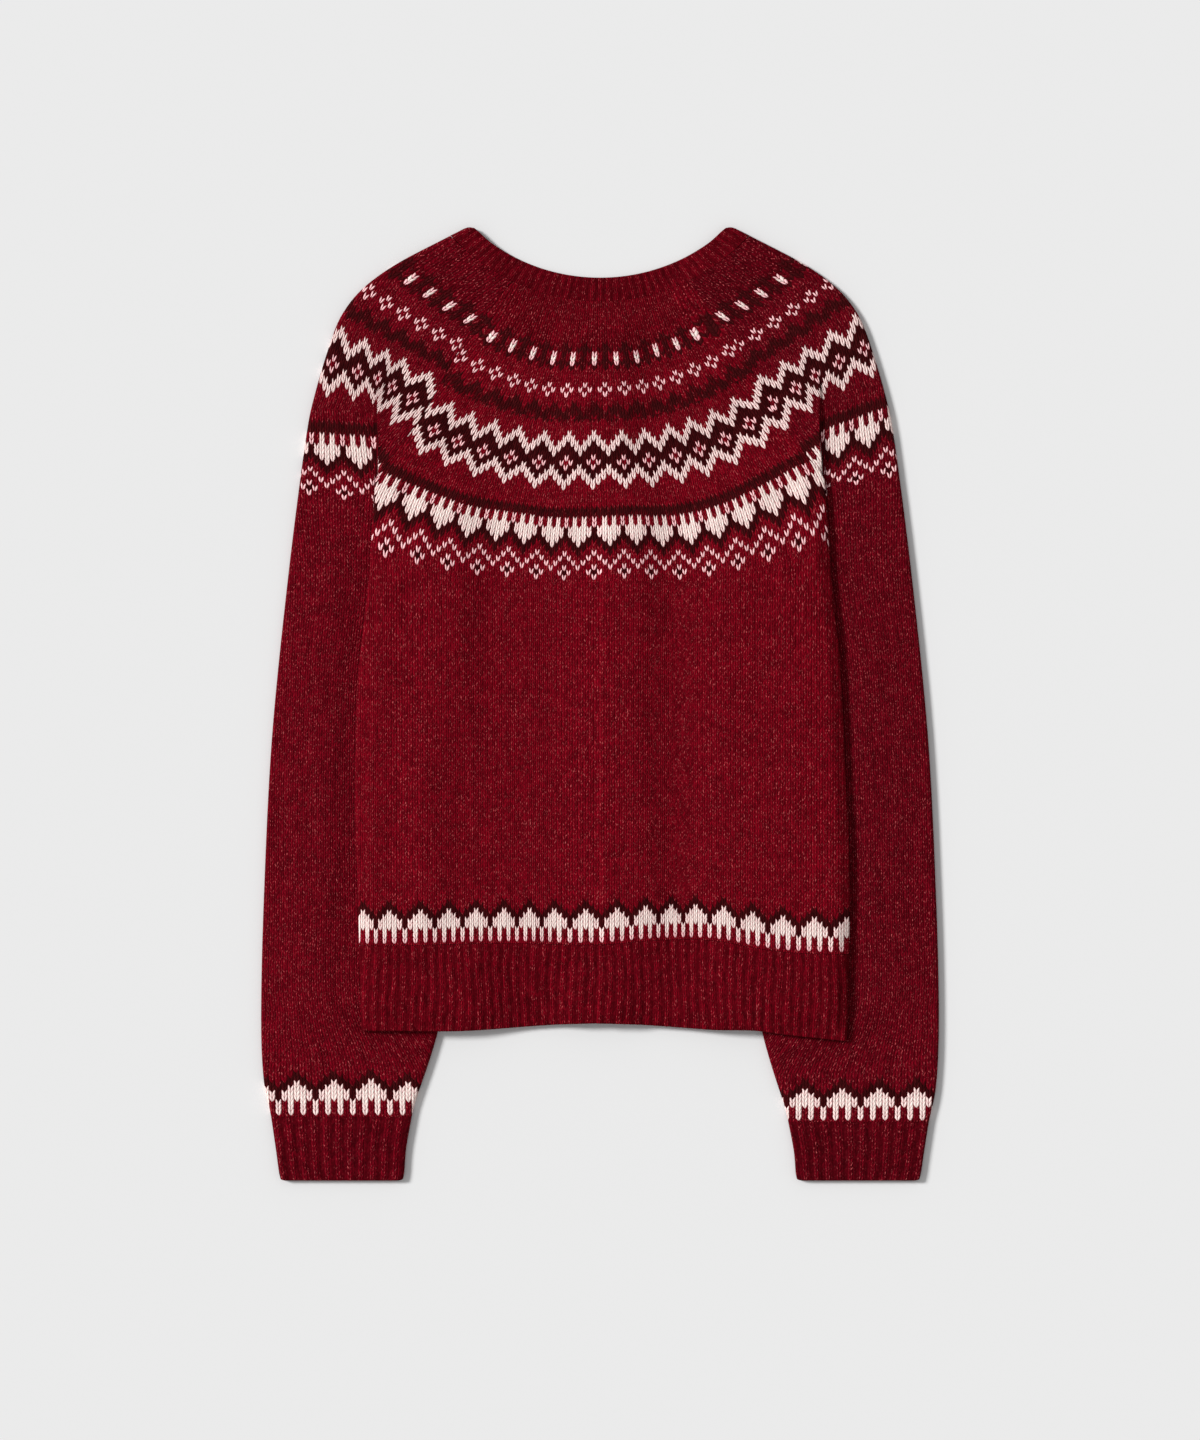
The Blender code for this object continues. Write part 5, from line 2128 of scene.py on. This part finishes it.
@dataclass(frozen=True)
class Studio:
    """A plain pale floor, a soft even sky, a soft key from the upper left, and the camera straight above."""

    floor_tone: float = 0.83
    sky: float = 0.40
    key: float = 3.2
    key_elevation: float = 36.0
    key_turn: float = 158.0
    key_spread: float = 14.0
    floor_half: float = 6.0
    floor_drop: float = 0.0003
    camera_place: tuple[float, float, float] = (0.0, -0.012, 3.0)
    lens: float = 100.0

    def build(self) -> None:
        """Makes the floor, the sky, the key and the camera."""
        self.build_floor()
        self.build_world()
        light = bpy.data.lights.new("key", "SUN")
        light.energy = self.key
        light.angle = math.radians(self.key_spread)
        lamp = bpy.data.objects.new("key", light)
        lamp.rotation_euler = (0.0, math.radians(90.0 - self.key_elevation), math.radians(self.key_turn))
        bpy.context.scene.collection.objects.link(lamp)
        data = bpy.data.cameras.new("camera")
        data.lens = self.lens
        data.clip_end = 20.0
        camera = bpy.data.objects.new("camera", data)
        camera.location = self.camera_place
        bpy.context.scene.collection.objects.link(camera)
        bpy.context.scene.camera = camera
        bpy.context.scene.view_settings.view_transform = "Standard"

    def build_floor(self) -> None:
        """Makes the floor just below the cloth."""
        mesh = bpy.data.meshes.new("floor")
        half, z = self.floor_half, -self.floor_drop
        corners = [(-half, -half, z), (half, -half, z), (half, half, z), (-half, half, z)]
        mesh.from_pydata(corners, [], [(0, 1, 2, 3)])
        material, g, shader = new_material("floor")
        tone = (self.floor_tone,) * 3 + (1.0,)
        g.feed(shader, Base_Color=tone, Roughness=1.0, Specular_IOR_Level=0.0)
        new_piece(mesh, material)

    def build_world(self) -> None:
        """Makes the sky: an even grey that the camera sees as a pale backdrop."""
        world = bpy.data.worlds.new("sky")
        world.use_nodes = True
        g = Graph(world.node_tree)
        shade = world.node_tree.nodes["Background"]
        path = g.node("LightPath")
        seen = g.math("MAXIMUM", path.outputs["Is Camera Ray"], path.outputs["Is Glossy Ray"])
        tone, pale = (self.sky,) * 3 + (1.0,), (self.floor_tone,) * 3 + (1.0,)
        g.feed(shade, Color=g.mix(seen, tone, pale))
        bpy.context.scene.world = world


def main() -> None:
    """Builds every piece, dresses it and finishes the scene."""
    logging.basicConfig(level=logging.INFO, format="%(name)s: %(message)s")
    charts = (UPPER_YOKE, LOWER_YOKE, HEM_BAND, CUFF_BAND)
    groups = {chart.name: chart.group() for chart in charts}
    groups |= {tree.name: tree for tree in (stitch_group(), wale_group(), wool_group())}
    body = WoolFinish("wool_body", BODY_WINE, (UPPER_YOKE, LOWER_YOKE, HEM_BAND)).build(groups)
    rib = WoolFinish("wool_rib", RIB_WINE, ribbed=True).build(groups)
    horn = HornFinish().build()
    yarn = WoolFinish("wool_thread", BODY_WINE).build(groups)

    back, hem = BackPanel(), HemRibBack()
    dress(back.build(body), Slot.KNIT, back.cut, "back_panel")
    dress(hem.build(rib), Slot.RIB, hem.cut, "hem_rib_back")
    for side, lay in ((Side.LEFT, LEFT_LAY), (Side.RIGHT, RIGHT_LAY)):
        front, tube, cuff = Front(side), Sleeve(lay), Cuff(side, lay.cuff_drop)
        tube_charts = (UPPER_YOKE, LOWER_YOKE, CUFF_BAND)
        # the right sleeve's and cuff's wool is a darker copy of the left's, as painted shade
        sleeve = WoolFinish(f"wool_sleeve_{side.word}", SLEEVE_WINE_AND_SHADE[side], tube_charts).build(groups)
        cuff_rib = WoolFinish(f"wool_cuff_{side.word}", CUFF_WINE_AND_SHADE[side], ribbed=True).build(groups)
        dress(front.build(body), Slot.KNIT, front.cut, f"front_{side.word}")
        dress(front.build_hem(rib), Slot.RIB, front.hem_cut, f"hem_rib_front_{side.word}")
        dress(tube.build(sleeve), Slot.KNIT, tube.cut, f"sleeve_{side.word}")
        dress(cuff.build(cuff_rib), Slot.RIB, cuff.cut, f"cuff_{side.word}")
    neck = Neckband()
    dress(neck.build(rib), Slot.RIB, neck.cut, "neckband")
    for name, height in (("button_band", BUTTON_BAND_Z), ("buttonhole_band", BUTTONHOLE_BAND_Z)):
        band = FrontBand(name, height)
        dress(band.build(rib), Slot.RIB, band.cut, name)
    for number in range(1, BUTTONS + 1):
        low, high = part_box(f"button_{number}")
        button, thread = Button(number, (low.y + high.y) / 2 / MM).build(horn, yarn)
        dress(button, Slot.HORN, None, f"button_{number}")
        dress(thread, Slot.KNIT, None)
    Studio().build()


if __name__ == "__main__":
    main()
